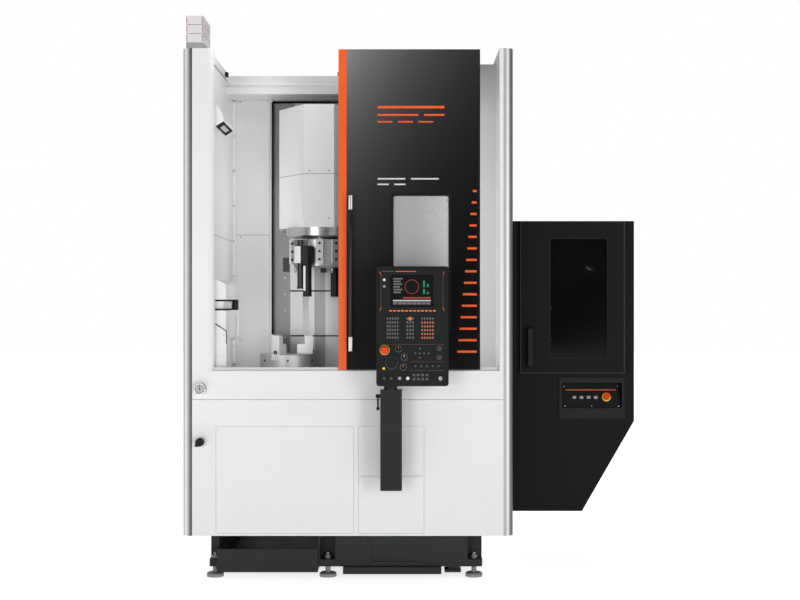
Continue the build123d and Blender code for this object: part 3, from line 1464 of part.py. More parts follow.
# Pendant housing, fascia with raised keys, screen
fascia_face = pendant_front - fascia_thick
screen_spans = panel_span(screen_shares)
control_holes = [(estop_share, estop_stem_radius), (wheel_share, wheel_hub_radius),
                 (key_share, key_stem_radius)]
control_holes += [(share, override_stem_radius) for share in override_shares]
with BuildPart() as pendant_housing:
    extrude(rounded(front_plane(pendant_front), (pendant_left, pendant_left + pendant_width),
                    (pendant_bottom, pendant_top), pendant_round), amount=pendant_front - pendant_back)
    chamfer(pendant_housing.faces().sort_by(Axis.Y)[-1].edges(), pendant_round / 2)
    extrude(disc(level(post_box_top + neck_collar + running_gap), (pendant_x, pendant_y), neck_radius),
            amount=pendant_bottom - post_box_top - neck_collar - running_gap)
    for share, radius in control_holes:
        extrude(disc(front_plane(pendant_front), on_panel(share), radius + fascia_hole_gap),
                amount=-estop_stem - estop_travel,
                mode=Mode.SUBTRACT)
save(pendant_housing, "pendant_housing")

key_blocks = ((function_key_shares, 12, 1), (left_key_shares, 5, 6), (middle_key_shares, 3, 6),
              (right_key_shares, 5, 6),
              (lower_key_shares, 4, 2))
with BuildPart() as pendant_fascia:
    extrude(rounded(front_plane(pendant_front),
                    (pendant_left + fascia_margin, pendant_left + pendant_width - fascia_margin),
                    (pendant_bottom + fascia_margin,
                     pendant_top - fascia_margin), fascia_round), amount=fascia_thick)
    block(screen_spans[0], (fascia_face - overcut, pendant_front + overcut), screen_spans[1],
          Mode.SUBTRACT)
    for shares, across, down in key_blocks:
        (x_low, x_high), (z_low, z_high) = panel_span(shares)
        pitch_x = (x_high - x_low) / across
        pitch_z = (z_high - z_low) / down
        with BuildSketch(front_plane(fascia_face)) as keys:
            with Locations(((x_low + x_high) / 2, (z_low + z_high) / 2)):
                with GridLocations(pitch_x, pitch_z, across, down):
                    Rectangle(pitch_x * (1 - key_gap_share), pitch_z * (1 - key_gap_share))
        extrude(keys.sketch, amount=key_height)
    for share in lamp_shares:
        extrude(disc(front_plane(fascia_face), on_panel(share), lamp_radius), amount=button_height / 2)
    for share in button_shares:
        extrude(disc(front_plane(fascia_face), on_panel(share), button_radius), amount=button_height)
    extrude(disc(front_plane(fascia_face), on_panel(estop_share), estop_collar_radius),
            amount=estop_collar)
    extrude(disc(front_plane(fascia_face - estop_collar), on_panel(estop_share),
                 estop_stem_radius + fascia_hole_gap),
            amount=-estop_collar, mode=Mode.SUBTRACT)
    for share, radius in control_holes:
        extrude(disc(front_plane(fascia_face), on_panel(share), radius + fascia_hole_gap),
                amount=-fascia_thick,
                mode=Mode.SUBTRACT)
save(pendant_fascia, "pendant_fascia")

with BuildPart() as pendant_screen:
    block(screen_spans[0], (pendant_front - screen_thick, pendant_front), screen_spans[1])
save(pendant_screen, "pendant_screen")

# Pendant controls: emergency stop, handwheel, override knobs and key switch
with BuildPart() as pendant_estop:
    cap_face = fascia_face - estop_collar - estop_travel - running_gap
    extrude(disc(front_plane(cap_face), on_panel(estop_share), estop_radius),
            amount=estop_cap - estop_travel)
    fillet(pendant_estop.edges().sort_by(Axis.Y)[0], estop_cap / 4)
    extrude(disc(front_plane(cap_face), on_panel(estop_share), estop_stem_radius), amount=-estop_stem)
save(pendant_estop, "pendant_estop")

wheel_at = on_panel(wheel_share)
with BuildPart() as handwheel:
    wheel_face = fascia_face - wheel_stand
    extrude(disc(front_plane(wheel_face), wheel_at, wheel_radius), amount=wheel_height)
    chamfer(handwheel.edges().sort_by(Axis.Y)[0], wheel_bevel)
    extrude(disc(front_plane(wheel_face), wheel_at, wheel_hub_radius), amount=-wheel_stand - wheel_stem)
    crank_at = around(60, wheel_radius * crank_share)
    extrude(disc(front_plane(wheel_face - wheel_height),
                 (wheel_at[0] + crank_at[0], wheel_at[1] + crank_at[1]), crank_radius),
            amount=crank_height)
save(handwheel, "handwheel")

for share, name in zip(override_shares,
                       ("feed_override_knob", "rapid_override_knob", "spindle_override_knob")):
    with BuildPart() as override_knob:
        knob_x, knob_z = on_panel(share)
        override_face = fascia_face - running_gap
        extrude(disc(front_plane(override_face), (knob_x, knob_z), override_radius),
                amount=override_height / 2)
        block((knob_x - override_grip / 2, knob_x + override_grip / 2),
              (override_face - override_height, override_face - override_height / 2),
              (knob_z - override_radius, knob_z + override_radius))
        extrude(disc(front_plane(override_face), (knob_x, knob_z), override_stem_radius),
                amount=-override_stem)
    save(override_knob, name)

with BuildPart() as key_switch:
    key_x, key_z = on_panel(key_share)
    barrel_face = fascia_face - running_gap
    extrude(disc(front_plane(barrel_face), (key_x, key_z), key_barrel_radius), amount=key_barrel)
    extrude(disc(front_plane(barrel_face), (key_x, key_z), key_stem_radius), amount=-key_barrel)
    block((key_x - key_bow_thick / 2, key_x + key_bow_thick / 2),
          (barrel_face - key_barrel - key_bow_length, barrel_face - key_barrel),
          (key_z - key_bow_width / 2, key_z + key_bow_width / 2))
save(key_switch, "key_switch")
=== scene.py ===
# %% [markdown]
# # A vertical turning lathe
# The machine holds a part upright in a three-jaw chuck and brings a turret of tools down to it.
# The CAD model gives every cover, door and slide its true size, so this notebook only adds looks:
# paint, brushed metal, glass, and the small pieces that are too fine for the CAD.

# %% Load the frame
import math
import bpy
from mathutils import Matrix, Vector


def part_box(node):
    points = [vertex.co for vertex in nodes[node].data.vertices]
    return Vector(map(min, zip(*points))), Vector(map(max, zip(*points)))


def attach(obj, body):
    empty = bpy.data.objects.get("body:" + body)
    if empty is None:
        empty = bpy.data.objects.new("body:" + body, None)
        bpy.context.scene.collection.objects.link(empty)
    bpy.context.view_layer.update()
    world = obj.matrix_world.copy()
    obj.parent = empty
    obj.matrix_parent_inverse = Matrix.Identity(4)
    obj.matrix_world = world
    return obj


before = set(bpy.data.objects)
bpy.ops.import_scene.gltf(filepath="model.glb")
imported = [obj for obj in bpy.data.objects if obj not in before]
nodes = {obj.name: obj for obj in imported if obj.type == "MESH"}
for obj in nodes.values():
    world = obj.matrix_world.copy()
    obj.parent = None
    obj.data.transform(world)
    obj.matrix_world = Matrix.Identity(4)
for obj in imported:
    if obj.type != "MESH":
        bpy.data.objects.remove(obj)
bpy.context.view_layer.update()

# %% [markdown]
# ## Camera
# The photograph was taken from far off, straight at the front and at chest height. A long lens
# seven metres away keeps the upright edges parallel, as they are in a catalogue picture.

# %% Camera
camera_off = 7
view = bpy.data.cameras.new("studio_camera")
view.lens = 58.32
view.sensor_width = 36
view.sensor_fit = "HORIZONTAL"
scene = bpy.context.scene
camera = bpy.data.objects.new("studio_camera", view)
scene.collection.objects.link(camera)
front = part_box("front_frame")[0].y
camera.location = (-0.0795, front - camera_off, 1.525)
camera.rotation_euler = (math.radians(90), 0, 0)
scene.camera = camera
print("camera stands at", [round(v, 3) for v in camera.location])

# %% [markdown]
# ## Floor and light
# A catalogue picture has an even white ground and large soft lamps. Two broad lamps stand left and
# right of the camera, out of the door's mirror, so that the white covers are lit evenly from top
# to bottom. Small lamps that the camera can't see fill the machining room, the recess beside the
# door and the side cabinet, and the sky is brighter behind the machine than in front of it.

# %% Node helpers


def fill(tree, node, inputs):
    """Links each named input of a node to a socket, or sets its value."""
    for name, value in inputs.items():
        if isinstance(value, bpy.types.NodeSocket):
            tree.links.new(value, node.inputs[name])
        else:
            node.inputs[name].default_value = value
    return node


def make(tree, kind, inputs, operation=None):
    node = tree.nodes.new("ShaderNode" + kind)
    if operation:
        node.operation = operation
    return fill(tree, node, inputs)


def mix_colours(tree, share, first, second, blend="MIX"):
    mix = tree.nodes.new("ShaderNodeMix")
    mix.data_type = "RGBA"
    mix.blend_type = blend
    return fill(tree, mix, {0: share, 6: first, 7: second}).outputs[2]


def object_place(tree):
    return make(tree, "TexCoord", {}).outputs["Object"]


# %% Floor
bpy.ops.object.select_all(action="DESELECT")
bpy.ops.mesh.primitive_grid_add(x_subdivisions=4, y_subdivisions=4, size=60, location=(0, 0, 0))
floor = bpy.context.object
floor.name = "studio_floor"
ground = bpy.data.materials.new("studio_ground")
ground.use_nodes = True
tree = ground.node_tree
place = object_place(tree)
noise = make(tree, "TexNoise", {"Vector": place, "Scale": 3})
far = make(tree, "VectorMath", {0: place}, "LENGTH")
fade = make(tree, "MapRange", {
    "Value": far.outputs["Value"], "From Min": 0.6, "From Max": 3.4, "To Min": 0.80})
fade.interpolation_type = "SMOOTHSTEP"
ground_colour = mix_colours(tree, noise.outputs["Fac"], (0.93, 0.93, 0.93, 1), (0.90, 0.90, 0.90, 1))
fill(tree, tree.nodes["Principled BSDF"], {
    "Roughness": 0.9, "Base Color": ground_colour,
    "Emission Color": (0.95, 0.95, 0.95, 1), "Emission Strength": fade.outputs["Result"]})
floor.data.materials.append(ground)
print("floor", [round(v, 1) for v in floor.dimensions])

# %% Sky
scene.view_settings.view_transform = "Standard"
world = bpy.data.worlds.new("studio_world")
scene.world = world
world.use_nodes = True
tree = world.node_tree
toward_sky = make(tree, "TexCoord", {}).outputs["Generated"]
parts = make(tree, "SeparateXYZ", {0: toward_sky})
dim = make(tree, "MapRange", {"Value": parts.outputs["Y"], "From Min": -0.1, "From Max": 0.5,
                              "To Min": 0.02, "To Max": 0.6})
sky = fill(tree, tree.nodes["Background"], {"Color": (0.96, 0.98, 1.0, 1), "Strength": dim.outputs["Result"]})
seen = make(tree, "Background", {"Color": (1, 1, 1, 1), "Strength": 1.0})
ray = make(tree, "LightPath", {})
pick = make(tree, "MixShader", {0: ray.outputs["Is Camera Ray"], 1: sky.outputs[0], 2: seen.outputs[0]})
fill(tree, tree.nodes["World Output"], {"Surface": pick.outputs[0]})
print("sky", world.name)

# %% Lamps


def lamp(name, place, aim, size, power):
    light = bpy.data.lights.new(name, "AREA")
    light.shape = "RECTANGLE"
    light.size, light.size_y = size
    light.energy = power
    holder = bpy.data.objects.new(name, light)
    scene.collection.objects.link(holder)
    holder.location = place
    holder.rotation_euler = (Vector(aim) - Vector(place)).to_track_quat("-Z", "Y").to_euler()
    print("lamp", name, power, "W")
    return holder


studio_lamps = (
    ("left_lamp", (-3.2, -8.4, 1.9), (-0.3, -0.6, 1.6), (2.4, 3.2), 132),
    ("right_lamp", (4.7, -7.8, 1.9), (-0.1, -0.6, 1.6), (2.4, 3.2), 186),
    ("top_lamp", (-0.6, -1.6, 5.2), (-0.6, -0.4, 1.5), (3.0, 2.0), 3))
hidden_lamps = (
    ("chamber_lamp", (-0.75, -0.95, 2.95), (-0.75, -0.45, 1.4), (0.6, 0.2), 0.8),
    ("inner_lamp", (-0.64, -0.74, 1.80), (-1.1, -0.62, 1.75), (0.2, 1.5), 1.3),
    ("rear_lamp", (-0.84, -0.66, 1.70), (-0.98, -0.16, 1.60), (0.12, 1.2), 0.42),
    ("low_lamp", (-0.33, -0.90, 1.40), (-1.0, -0.16, 1.35), (0.2, 0.4), 1.3),
    ("cabinet_lamp", (0.98, -0.50, 1.80), (0.84, -0.25, 1.50), (0.1, 0.3), 0.25),
    ("foot_lamp", (-0.98, -0.42, 1.32), (-0.96, -0.16, 1.32), (0.14, 0.36), 0.22),
    ("inset_lamp", (0.22, -0.89, 1.90), (0.43, -0.68, 1.90), (0.1, 1.6), 1.1))
for row in studio_lamps:
    lamp(*row)
for row in hidden_lamps:
    lamp(*row).visible_camera = False

# %% [markdown]
# ## Surface patterns
# No real surface is one flat colour. Three small node groups give the patterns that the finishes
# share: soft clouds with fine grain for paint and plastic, long lines for brushed sheet, and
# rings for metal that was turned. A group only hands out masks, and each material uses them.

# %% Pattern groups
vector = "NodeSocketVector"
value = "NodeSocketFloat"


def new_group(name, inputs, outputs):
    group = bpy.data.node_groups.new(name, "ShaderNodeTree")
    for socket, kind in inputs.items():
        group.interface.new_socket(socket, in_out="INPUT", socket_type=kind)
    for socket in outputs:
        group.interface.new_socket(socket, in_out="OUTPUT", socket_type=value)
    return group, group.nodes.new("NodeGroupInput").outputs, group.nodes.new("NodeGroupOutput")


grain_group, start, end = new_group(
    "cloud_and_grain", {"Vector": vector, "Cloud Scale": value, "Grain Scale": value}, ["Cloud", "Grain"])
for result, detail in (("Cloud", 4), ("Grain", 2)):
    noise = make(grain_group, "TexNoise", {
        "Vector": start["Vector"], "Scale": start[result + " Scale"], "Detail": detail})
    fill(grain_group, end, {result: noise.outputs["Fac"]})

brush_group, start, end = new_group("brush_lines", {"Vector": vector, "Stretch": vector}, ["Lines", "Cloud"])
stretched = make(brush_group, "VectorMath", {0: start["Vector"], 1: start["Stretch"]}, "MULTIPLY")
lines = make(brush_group, "TexNoise", {"Vector": stretched.outputs[0], "Scale": 1, "Detail": 3})
patches = make(brush_group, "TexNoise", {"Vector": start["Vector"], "Scale": 5})
fill(brush_group, end, {"Lines": lines.outputs["Fac"], "Cloud": patches.outputs["Fac"]})

turn_group, start, end = new_group(
    "turning_rings", {"Vector": vector, "Centre": vector, "Rings": value}, ["Lines", "Cloud"])
shift = make(turn_group, "VectorMath", {0: start["Vector"], 1: start["Centre"]}, "SUBTRACT")
flat = make(turn_group, "VectorMath", {0: shift.outputs[0], 1: (1, 1, 0)}, "MULTIPLY")
reach = make(turn_group, "VectorMath", {0: flat.outputs[0]}, "LENGTH")
height = make(turn_group, "SeparateXYZ", {0: start["Vector"]})
both = make(turn_group, "Math", {0: reach.outputs["Value"], 1: height.outputs["Z"]}, "ADD")
rings = turn_group.nodes.new("ShaderNodeTexNoise")
rings.noise_dimensions = "1D"
fill(turn_group, rings, {"W": both.outputs[0], "Scale": start["Rings"], "Detail": 2})
smears = make(turn_group, "TexNoise", {"Vector": start["Vector"], "Scale": 9})
fill(turn_group, end, {"Lines": rings.outputs["Fac"], "Cloud": smears.outputs["Fac"]})
print("groups", [g.name for g in (grain_group, brush_group, turn_group)])

# %% [markdown]
# ## Finishes
# Powder paint has a slight orange-peel skin, brushed sheet shines along its lines, and a turned
# face shows fine rings round the spindle. Each finish mixes two near colours by a mask and moves
# its roughness with the same mask, so that a highlight breaks up as it does on the real machine.

# %% Finish helpers


def surface(name, group, settings, shader_settings, masks, colours, rough, relief):
    """Colour and roughness follow one mask of a pattern, and a bump follows another."""
    material = bpy.data.materials.new(name)
    material.use_nodes = True
    tree = material.node_tree
    pattern = tree.nodes.new("ShaderNodeGroup")
    pattern.node_tree = group
    fill(tree, pattern, {"Vector": object_place(tree), **settings})
    spread, grain = [pattern.outputs[mask] for mask in masks]
    dark, light = colours
    bend = make(tree, "MapRange", {"Value": spread, "From Min": 0.3, "From Max": 0.7,
                                   "To Min": rough[0], "To Max": rough[1]})
    bump = make(tree, "Bump", {"Strength": relief[0], "Distance": relief[1], "Height": grain})
    fill(tree, tree.nodes["Principled BSDF"], {
        "Base Color": mix_colours(tree, spread, (*dark, 1), (*light, 1)),
        "Roughness": bend.outputs["Result"], "Normal": bump.outputs["Normal"], **shader_settings})
    return material


def skin(name, dark, light, rough, cloud_scale=2.5, grain_scale=700.0, strength=0.05, coat=0.0,
         metallic=0.0, shine=0.5):
    return surface(name, grain_group, {"Cloud Scale": cloud_scale, "Grain Scale": grain_scale},
                   {"Coat Weight": coat, "Coat Roughness": 0.08, "Metallic": metallic,
                    "Specular IOR Level": shine},
                   ("Cloud", "Grain"), (dark, light), rough, (strength, 0.0006))


def brushed(name, dark, light, rough, stretch, strength=0.08, metallic=1.0):
    return surface(name, brush_group, {"Stretch": stretch}, {"Metallic": metallic},
                   ("Lines", "Lines"), (dark, light), rough, (strength, 0.0004))


def turned(name, dark, light, rough, centre):
    return surface(name, turn_group, {"Centre": centre, "Rings": 420.0}, {"Metallic": 0.6},
                   ("Lines", "Lines"), (dark, light), rough, (0.06, 0.0003))


def clear(name, dark, light, rough, solid, cloud_scale=3.0, grain_scale=40.0, strength=0.0):
    """A thin pane or lens: mostly open, so that light passes to what stands behind it."""
    material = skin(name, dark, light, rough, cloud_scale, grain_scale, strength)
    material.node_tree.nodes["Principled BSDF"].inputs["Alpha"].default_value = solid
    return material


# %% Finishes
chuck_axis = (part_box("chuck_body")[0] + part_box("chuck_body")[1]) / 2
drum_axis = (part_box("turret_drum")[0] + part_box("turret_drum")[1]) / 2
along_z = (900, 900, 3)
along_x = (60, 700, 700)
sheet = ((0.42, 0.42, 0.418), (0.54, 0.54, 0.535), (0.28, 0.42), (600, 600, 4), 0.06, 0.5)
white_paint = skin("white_paint", (0.78, 0.78, 0.775), (0.82, 0.82, 0.815), (0.30, 0.42))
inner_paint = skin("inner_paint", (0.74, 0.745, 0.74), (0.80, 0.80, 0.795), (0.28, 0.44), 4.0)
inset_paint = skin("inset_paint", (0.86, 0.86, 0.855), (0.90, 0.90, 0.895), (0.36, 0.48))
door_black = skin("door_black", (0.003, 0.0031, 0.0033), (0.0055, 0.0056, 0.006), (0.15, 0.22),
                  1.2, 500.0, 0.01, shine=0.08)
cabinet_dark = skin("cabinet_dark", (0.0045, 0.0052, 0.0051), (0.0072, 0.0079, 0.0078), (0.42, 0.56),
                    2.0, 420.0, 0.12, shine=0.08)
post_dark = skin("post_dark", (0.0145, 0.017, 0.0165), (0.020, 0.0225, 0.022), (0.4, 0.52),
                 3.0, 420.0, 0.1, shine=0.18)
bed_paint = skin("bed_paint", (0.015, 0.0175, 0.017), (0.024, 0.027, 0.026), (0.45, 0.6),
                 6.0, 160.0, 0.22, shine=0.18)
orange_paint = skin("orange_paint", (0.82, 0.100, 0.013), (0.92, 0.128, 0.02), (0.28, 0.4), shine=0.3)
foot_zinc = skin("foot_zinc", (0.20, 0.20, 0.20), (0.27, 0.27, 0.27), (0.38, 0.52),
                 14.0, 400.0, 0.12, 0.0, 0.2)
dark_steel = skin("blackened_steel", (0.02, 0.02, 0.022), (0.045, 0.045, 0.05), (0.3, 0.48),
                  18.0, 500.0, 0.1, 0.0, 0.7)
bright_alu = brushed("brushed_aluminium", (0.56, 0.57, 0.575), (0.74, 0.745, 0.75), (0.24, 0.36), along_z)
stainless = brushed("brushed_stainless", *sheet)
jaw_steel = brushed("jaw_steel", (0.70, 0.70, 0.69), (0.84, 0.84, 0.83), (0.26, 0.42), along_x, 0.06, 0.45)
ground_steel = brushed("ground_steel", (0.46, 0.465, 0.47), (0.66, 0.665, 0.67), (0.2, 0.36), along_x)
chuck_steel = turned("turned_steel", (0.42, 0.42, 0.42), (0.60, 0.60, 0.59), (0.42, 0.56), chuck_axis)
drum_steel = turned("turret_steel", (0.40, 0.405, 0.41), (0.58, 0.585, 0.59), (0.24, 0.4), drum_axis)
black_plastic = skin("black_plastic", (0.0055, 0.006, 0.0065), (0.009, 0.0095, 0.010), (0.42, 0.56),
                     8.0, 900.0, 0.14, shine=0.18)
grey_plastic = skin("grey_plastic", (0.30, 0.31, 0.32), (0.37, 0.38, 0.39), (0.4, 0.55), 8.0, 900.0, 0.1)
red_plastic = skin("red_plastic", (0.70, 0.045, 0.010), (0.80, 0.07, 0.014), (0.22, 0.36),
                   12.0, 700.0, 0.05, 0.1, shine=0.3)
rubber_black = skin("rubber_black", (0.006, 0.006, 0.006), (0.012, 0.012, 0.012), (0.62, 0.8),
                    14.0, 260.0, 0.25, shine=0.15)
window_glass = clear("window_glass", (0.58, 0.59, 0.59), (0.66, 0.67, 0.67), (0.04, 0.1), 0.36)
smoked_glass = clear("smoked_glass", (0.004, 0.0042, 0.0045), (0.007, 0.0072, 0.0075), (0.05, 0.12), 0.32)
screen_glass = skin("screen_glass", (0.006, 0.007, 0.008), (0.010, 0.011, 0.012), (0.08, 0.16),
                    6.0, 300.0, 0.01, shine=0.08)
lens_clear = clear("lens_clear", (0.88, 0.87, 0.87), (0.96, 0.95, 0.95), (0.14, 0.26), 0.80, 20.0, 90.0, 0.2)
print("finishes", len(bpy.data.materials))

# %% [markdown]
# ## Painted reflections that follow the place
# A glossy door mirrors a pale studio in its upper corner, and round posts and folded covers show
# bands of light and dark. These are painted: a painted highlight on the door and painted bands of
# reflected light and shade on the posts and covers are laid over the base colour as a grey that
# follows the place on the machine, and stay the same under any lamp.

# %% Place helpers


def place_axes(tree):
    return make(tree, "SeparateXYZ", {0: object_place(tree)}).outputs


def number(tree, operation, *values):
    return make(tree, "Math", dict(enumerate(values)), operation).outputs[0]


def tint(material, blend, layer):
    """Lays painted light over the base colour of a finish: a painted highlight or painted reflection bands.
    """
    tree = material.node_tree
    shader = tree.nodes["Principled BSDF"]
    base = shader.inputs["Base Color"].links[0].from_socket
    fill(tree, shader, {"Base Color": mix_colours(tree, 1, base, layer, blend)})


def bands(tree, position, stops):
    """A grey that follows a position through a list of stops, used for painted bands of reflected light and
    shade.
    """
    low, high = stops[0][0], stops[-1][0]
    reach = make(tree, "MapRange", {"Value": position, "From Min": low, "From Max": high})
    ramp = make(tree, "ValToRGB", {"Fac": reach.outputs["Result"]})
    elements = ramp.color_ramp.elements
    elements.remove(elements[1])
    for index, (at, grey) in enumerate(stops):
        share = (at - low) / (high - low)
        stop = elements.new(share) if index else elements[0]
        stop.position = share
        stop.color = (grey, grey, grey, 1)
    return ramp.outputs["Color"]


# %% Painted door highlight, painted post bands and painted cover bands
# Painted highlight: a soft glow fades from the door's upper-left corner, where the glossy sheet would mirror
# a lamp.
sheen_left, sheen_wide = -0.3387, 0.367
sheen_top, sheen_tall = 2.848, 0.513
tree = door_black.node_tree
axes = place_axes(tree)
across = number(tree, "MULTIPLY_ADD", axes["X"], 1 / sheen_wide, -sheen_left / sheen_wide)
down = number(tree, "MULTIPLY_ADD", axes["Z"], -1 / sheen_tall, sheen_top / sheen_tall)
painted_sheen = number(tree, "EXPONENT", number(tree, "MULTIPLY", number(tree, "ADD", across, down), -1.1))
tint(door_black, "ADD", number(tree, "MULTIPLY", painted_sheen, 0.2))

post_alu = brushed("post_aluminium", (0.88, 0.885, 0.89), (0.98, 0.985, 0.99), (0.3, 0.42),
                   along_z, 0.05, 0.08)
tree = post_alu.node_tree
axes = place_axes(tree)
# Painted reflection: light and dark bands across each round post, laid over the brushed aluminium by place.
left_post_reflection = bands(tree, axes["X"], (
    (-1.260, 0.62), (-1.246, 0.62), (-1.240, 0.93), (-1.233, 0.93), (-1.226, 0.56), (-1.219, 0.28),
    (-1.211, 0.08), (-1.202, 0.04)))
right_post_reflection = bands(tree, axes["X"], (
    (0.479, 0.48), (0.495, 0.48), (0.501, 0.86), (0.505, 0.86), (0.511, 0.48), (0.516, 0.20),
    (0.526, 0.10), (0.536, 0.08)))
on_right = number(tree, "GREATER_THAN", axes["X"], 0.0)
tint(post_alu, "MULTIPLY", mix_colours(tree, on_right, left_post_reflection, right_post_reflection))

cover_steel = brushed("cover_steel", *sheet)
slide_steel = brushed("slide_steel", *sheet)
# Painted reflection: upright bands of lighter and darker steel across the X cover and the Z covers, laid over
# the brushed finish.
for finish, stops in (
        (cover_steel, ((-0.90, 0.38), (-0.722, 0.44), (-0.716, 1.0), (-0.60, 1.12), (-0.560, 1.2),
                       (-0.555, 0.72), (-0.495, 0.80), (-0.490, 1.15), (-0.30, 1.0))),
        (slide_steel, ((-0.75, 1.0), (-0.640, 1.15), (-0.600, 1.25), (-0.594, 0.66), (-0.534, 0.74),
                       (-0.528, 1.25), (-0.480, 1.05), (-0.33, 0.9)))):
    tree = finish.node_tree
    tint(finish, "MULTIPLY", bands(tree, place_axes(tree)["X"], stops))
print("place finishes", [m.name for m in (door_black, post_alu, cover_steel, slide_steel)])

# %% [markdown]
# ## Which finish goes where
# The fixed covers are powder-coated white, the door and the side cabinet black, and the parts
# that cut metal are bare steel. Writing the choice as one table makes it easy to repaint.

# %% Dress the CAD nodes
finish_table = (
    (bed_paint, "bed_casting coolant_tank column headstock x_saddle"),
    (foot_zinc, "levelling_feet"),
    (white_paint, "left_side_cover right_side_cover front_frame lower_front_cover front_access_panels "
                  "top_beam electrical_cabinet electrical_door work_light turret_hood"),
    (inner_paint, "chamber_guard"), (inset_paint, "inset_panel"), (post_alu, "corner_posts"),
    (door_black, "front_door"), (orange_paint, "door_edge_trim"), (bright_alu, "door_handle"),
    (window_glass, "door_window"), (smoked_glass, "side_window"), (screen_glass, "pendant_screen"),
    (cabinet_dark, "side_cabinet side_door"), (post_dark, "pendant_post"), (rubber_black, "coolant_hose"),
    (black_plastic, "side_console side_handle pressure_knob door_rollers pendant_lever pendant_housing "
                    "pendant_fascia handwheel feed_override_knob rapid_override_knob spindle_override_knob"),
    (grey_plastic, "signal_tower_base"), (lens_clear, "signal_tower_lenses"),
    (red_plastic, "main_switch side_estop pendant_estop"),
    (ground_steel, "spindle_bearings pressure_gauge key_switch ram"),
    (cover_steel, "x_cover"), (slide_steel, "z_cover_lower z_cover_middle z_cover_upper"),
    (drum_steel, "turret_drum"), (dark_steel, "turret_tools"),
    (chuck_steel, "spindle chuck_body"), (jaw_steel, "jaw_1 jaw_2 jaw_3"),
)
dressed = 0
for finish, names in finish_table:
    for node in names.split():
        mesh = nodes[node].data
        mesh.materials.clear()
        mesh.materials.append(finish)
        dressed += 1
print("dressed", dressed, "of", len(nodes), "nodes")

# %% [markdown]
# ## Modelling helpers
# Sheet, screws and keys all start as a box or a cylinder that is placed at its size and then
# worked in edit mode: every edge of a real part is broken, so a bevel is the least that each
# one gets. A piece that repeats is modelled once and copied, and the copies are joined.

# %% Selecting and placing


def mode(name):
    bpy.ops.object.mode_set(mode=name)


def fresh():
    if bpy.context.object and bpy.context.object.mode != "OBJECT":
        mode("OBJECT")
    bpy.ops.object.select_all(action="DESELECT")


def hold(piece):
    fresh()
    piece.select_set(True)
    bpy.context.view_layer.objects.active = piece


def settle(piece, name):
    """Keeps the place in the mesh, with the object itself at the origin."""
    piece.name = name
    piece.data.name = name
    bpy.ops.object.transform_apply(location=True, rotation=True, scale=True)
    return piece


def pick_faces(piece, test):
    """Selects the faces that pass a test of their centre and normal."""
    mode("EDIT")
    bpy.ops.mesh.select_mode(type="FACE")
    bpy.ops.mesh.select_all(action="DESELECT")
    mode("OBJECT")
    for face in piece.data.polygons:
        face.select = test(face.center, face.normal)
    mode("EDIT")


def smooth(piece):
    hold(piece)
    bpy.ops.object.shade_smooth_by_angle(angle=math.radians(35))
    return piece


# %% Boxes, rods and screws
toward = (0, -1, 0)
upward = (0, 0, 1)


def cube(name, middle, size, turn=(0, 0, 0)):
    fresh()
    bpy.ops.mesh.primitive_cube_add(size=1, location=middle, scale=size, rotation=turn)
    return settle(bpy.context.object, name)


def cylinder(name, middle, length, radius, turn, sides):
    fresh()
    bpy.ops.mesh.primitive_cylinder_add(
        vertices=sides, radius=radius, depth=length, location=middle, rotation=turn)
    return settle(bpy.context.object, name)


def break_edges(piece, edge, segments):
    mode("EDIT")
    bpy.ops.mesh.select_all(action="SELECT")
    bpy.ops.mesh.bevel(offset=edge, segments=segments, affect="EDGES")
    mode("OBJECT")
    return piece


def block(name, middle, size, turn, edge, segments=2):
    """A box about a middle point, turned, with all its edges broken."""
    return break_edges(cube(name, middle, size, turn), edge, segments)


def middle_and_size(low, high):
    return [(a + b) / 2 for a, b in zip(low, high)], [b - a for a, b in zip(low, high)]


def plate(name, low, high, edge, segments=2):
    """A box between two corners with all its edges broken."""
    return break_edges(cube(name, *middle_and_size(low, high)), edge, segments)


def film(name, x_span, z_span, level, thick, edge=0.0002):
    """A thin bar that lies against a plane which faces the front."""
    return plate(name, (x_span[0], level - thick, z_span[0]), (x_span[1], level, z_span[1]), edge, 1)


def rod(name, foot, along, length, radius, edge, sides=24):
    """A round bar from a foot point, with the rims of its two ends broken."""
    axis = Vector(along).normalized()
    turn = axis.to_track_quat("Z", "Y").to_euler()
    piece = cylinder(name, Vector(foot) + axis * length / 2, length, radius, turn, sides)
    pick_faces(piece, lambda centre, normal: abs(normal.dot(axis)) > 0.9)
    bpy.ops.mesh.bevel(offset=edge, segments=2, affect="EDGES")
    mode("OBJECT")
    return smooth(piece)


def screw(name, foot, along, radius):
    """A socket-head screw: a short round head with a hole sunk in its top."""
    axis = Vector(along).normalized()
    head = radius * 1.1
    piece = rod(name, foot, along, head, radius, radius * 0.15, 12)
    top = Vector(foot).dot(axis) + head
    pick_faces(piece, lambda centre, normal: normal.dot(axis) > 0.9 and abs(centre.dot(axis) - top) < 1e-5)
    bpy.ops.mesh.inset(thickness=radius * 0.4, depth=0)
    bpy.ops.mesh.extrude_region_move(TRANSFORM_OT_translate={"value": axis * (-radius * 0.6)})
    mode("OBJECT")
    return smooth(piece)


# %% Copies and fitting
usual_slot = {name: slot for slot, names in {
    "white_panel": "white_paint inner_paint seam_shadow pale_film",
    "black_panel": "painted_edge_highlight",
    "cast_iron": "bed_paint",
    "steel_bright": "ground_steel jaw_steel",
    "steel_dark": "blackened_steel",
    "stainless": "brushed_stainless",
    "orange_trim": "orange_paint cap_orange line_dim safety_yellow",
    "plastic_black": "black_plastic cap_dark screen_field",
    "plastic_grey": "grey_plastic mark_light mark_dim screen_lines screen_graph lamp_white lamp_yellow "
                    "dial_paper",
    "plastic_red": "screen_dial tower_red",
    "rubber": "rubber_black", "glass": "lamp_glass", "lens": "lens_clear"}.items() for name in names.split()}


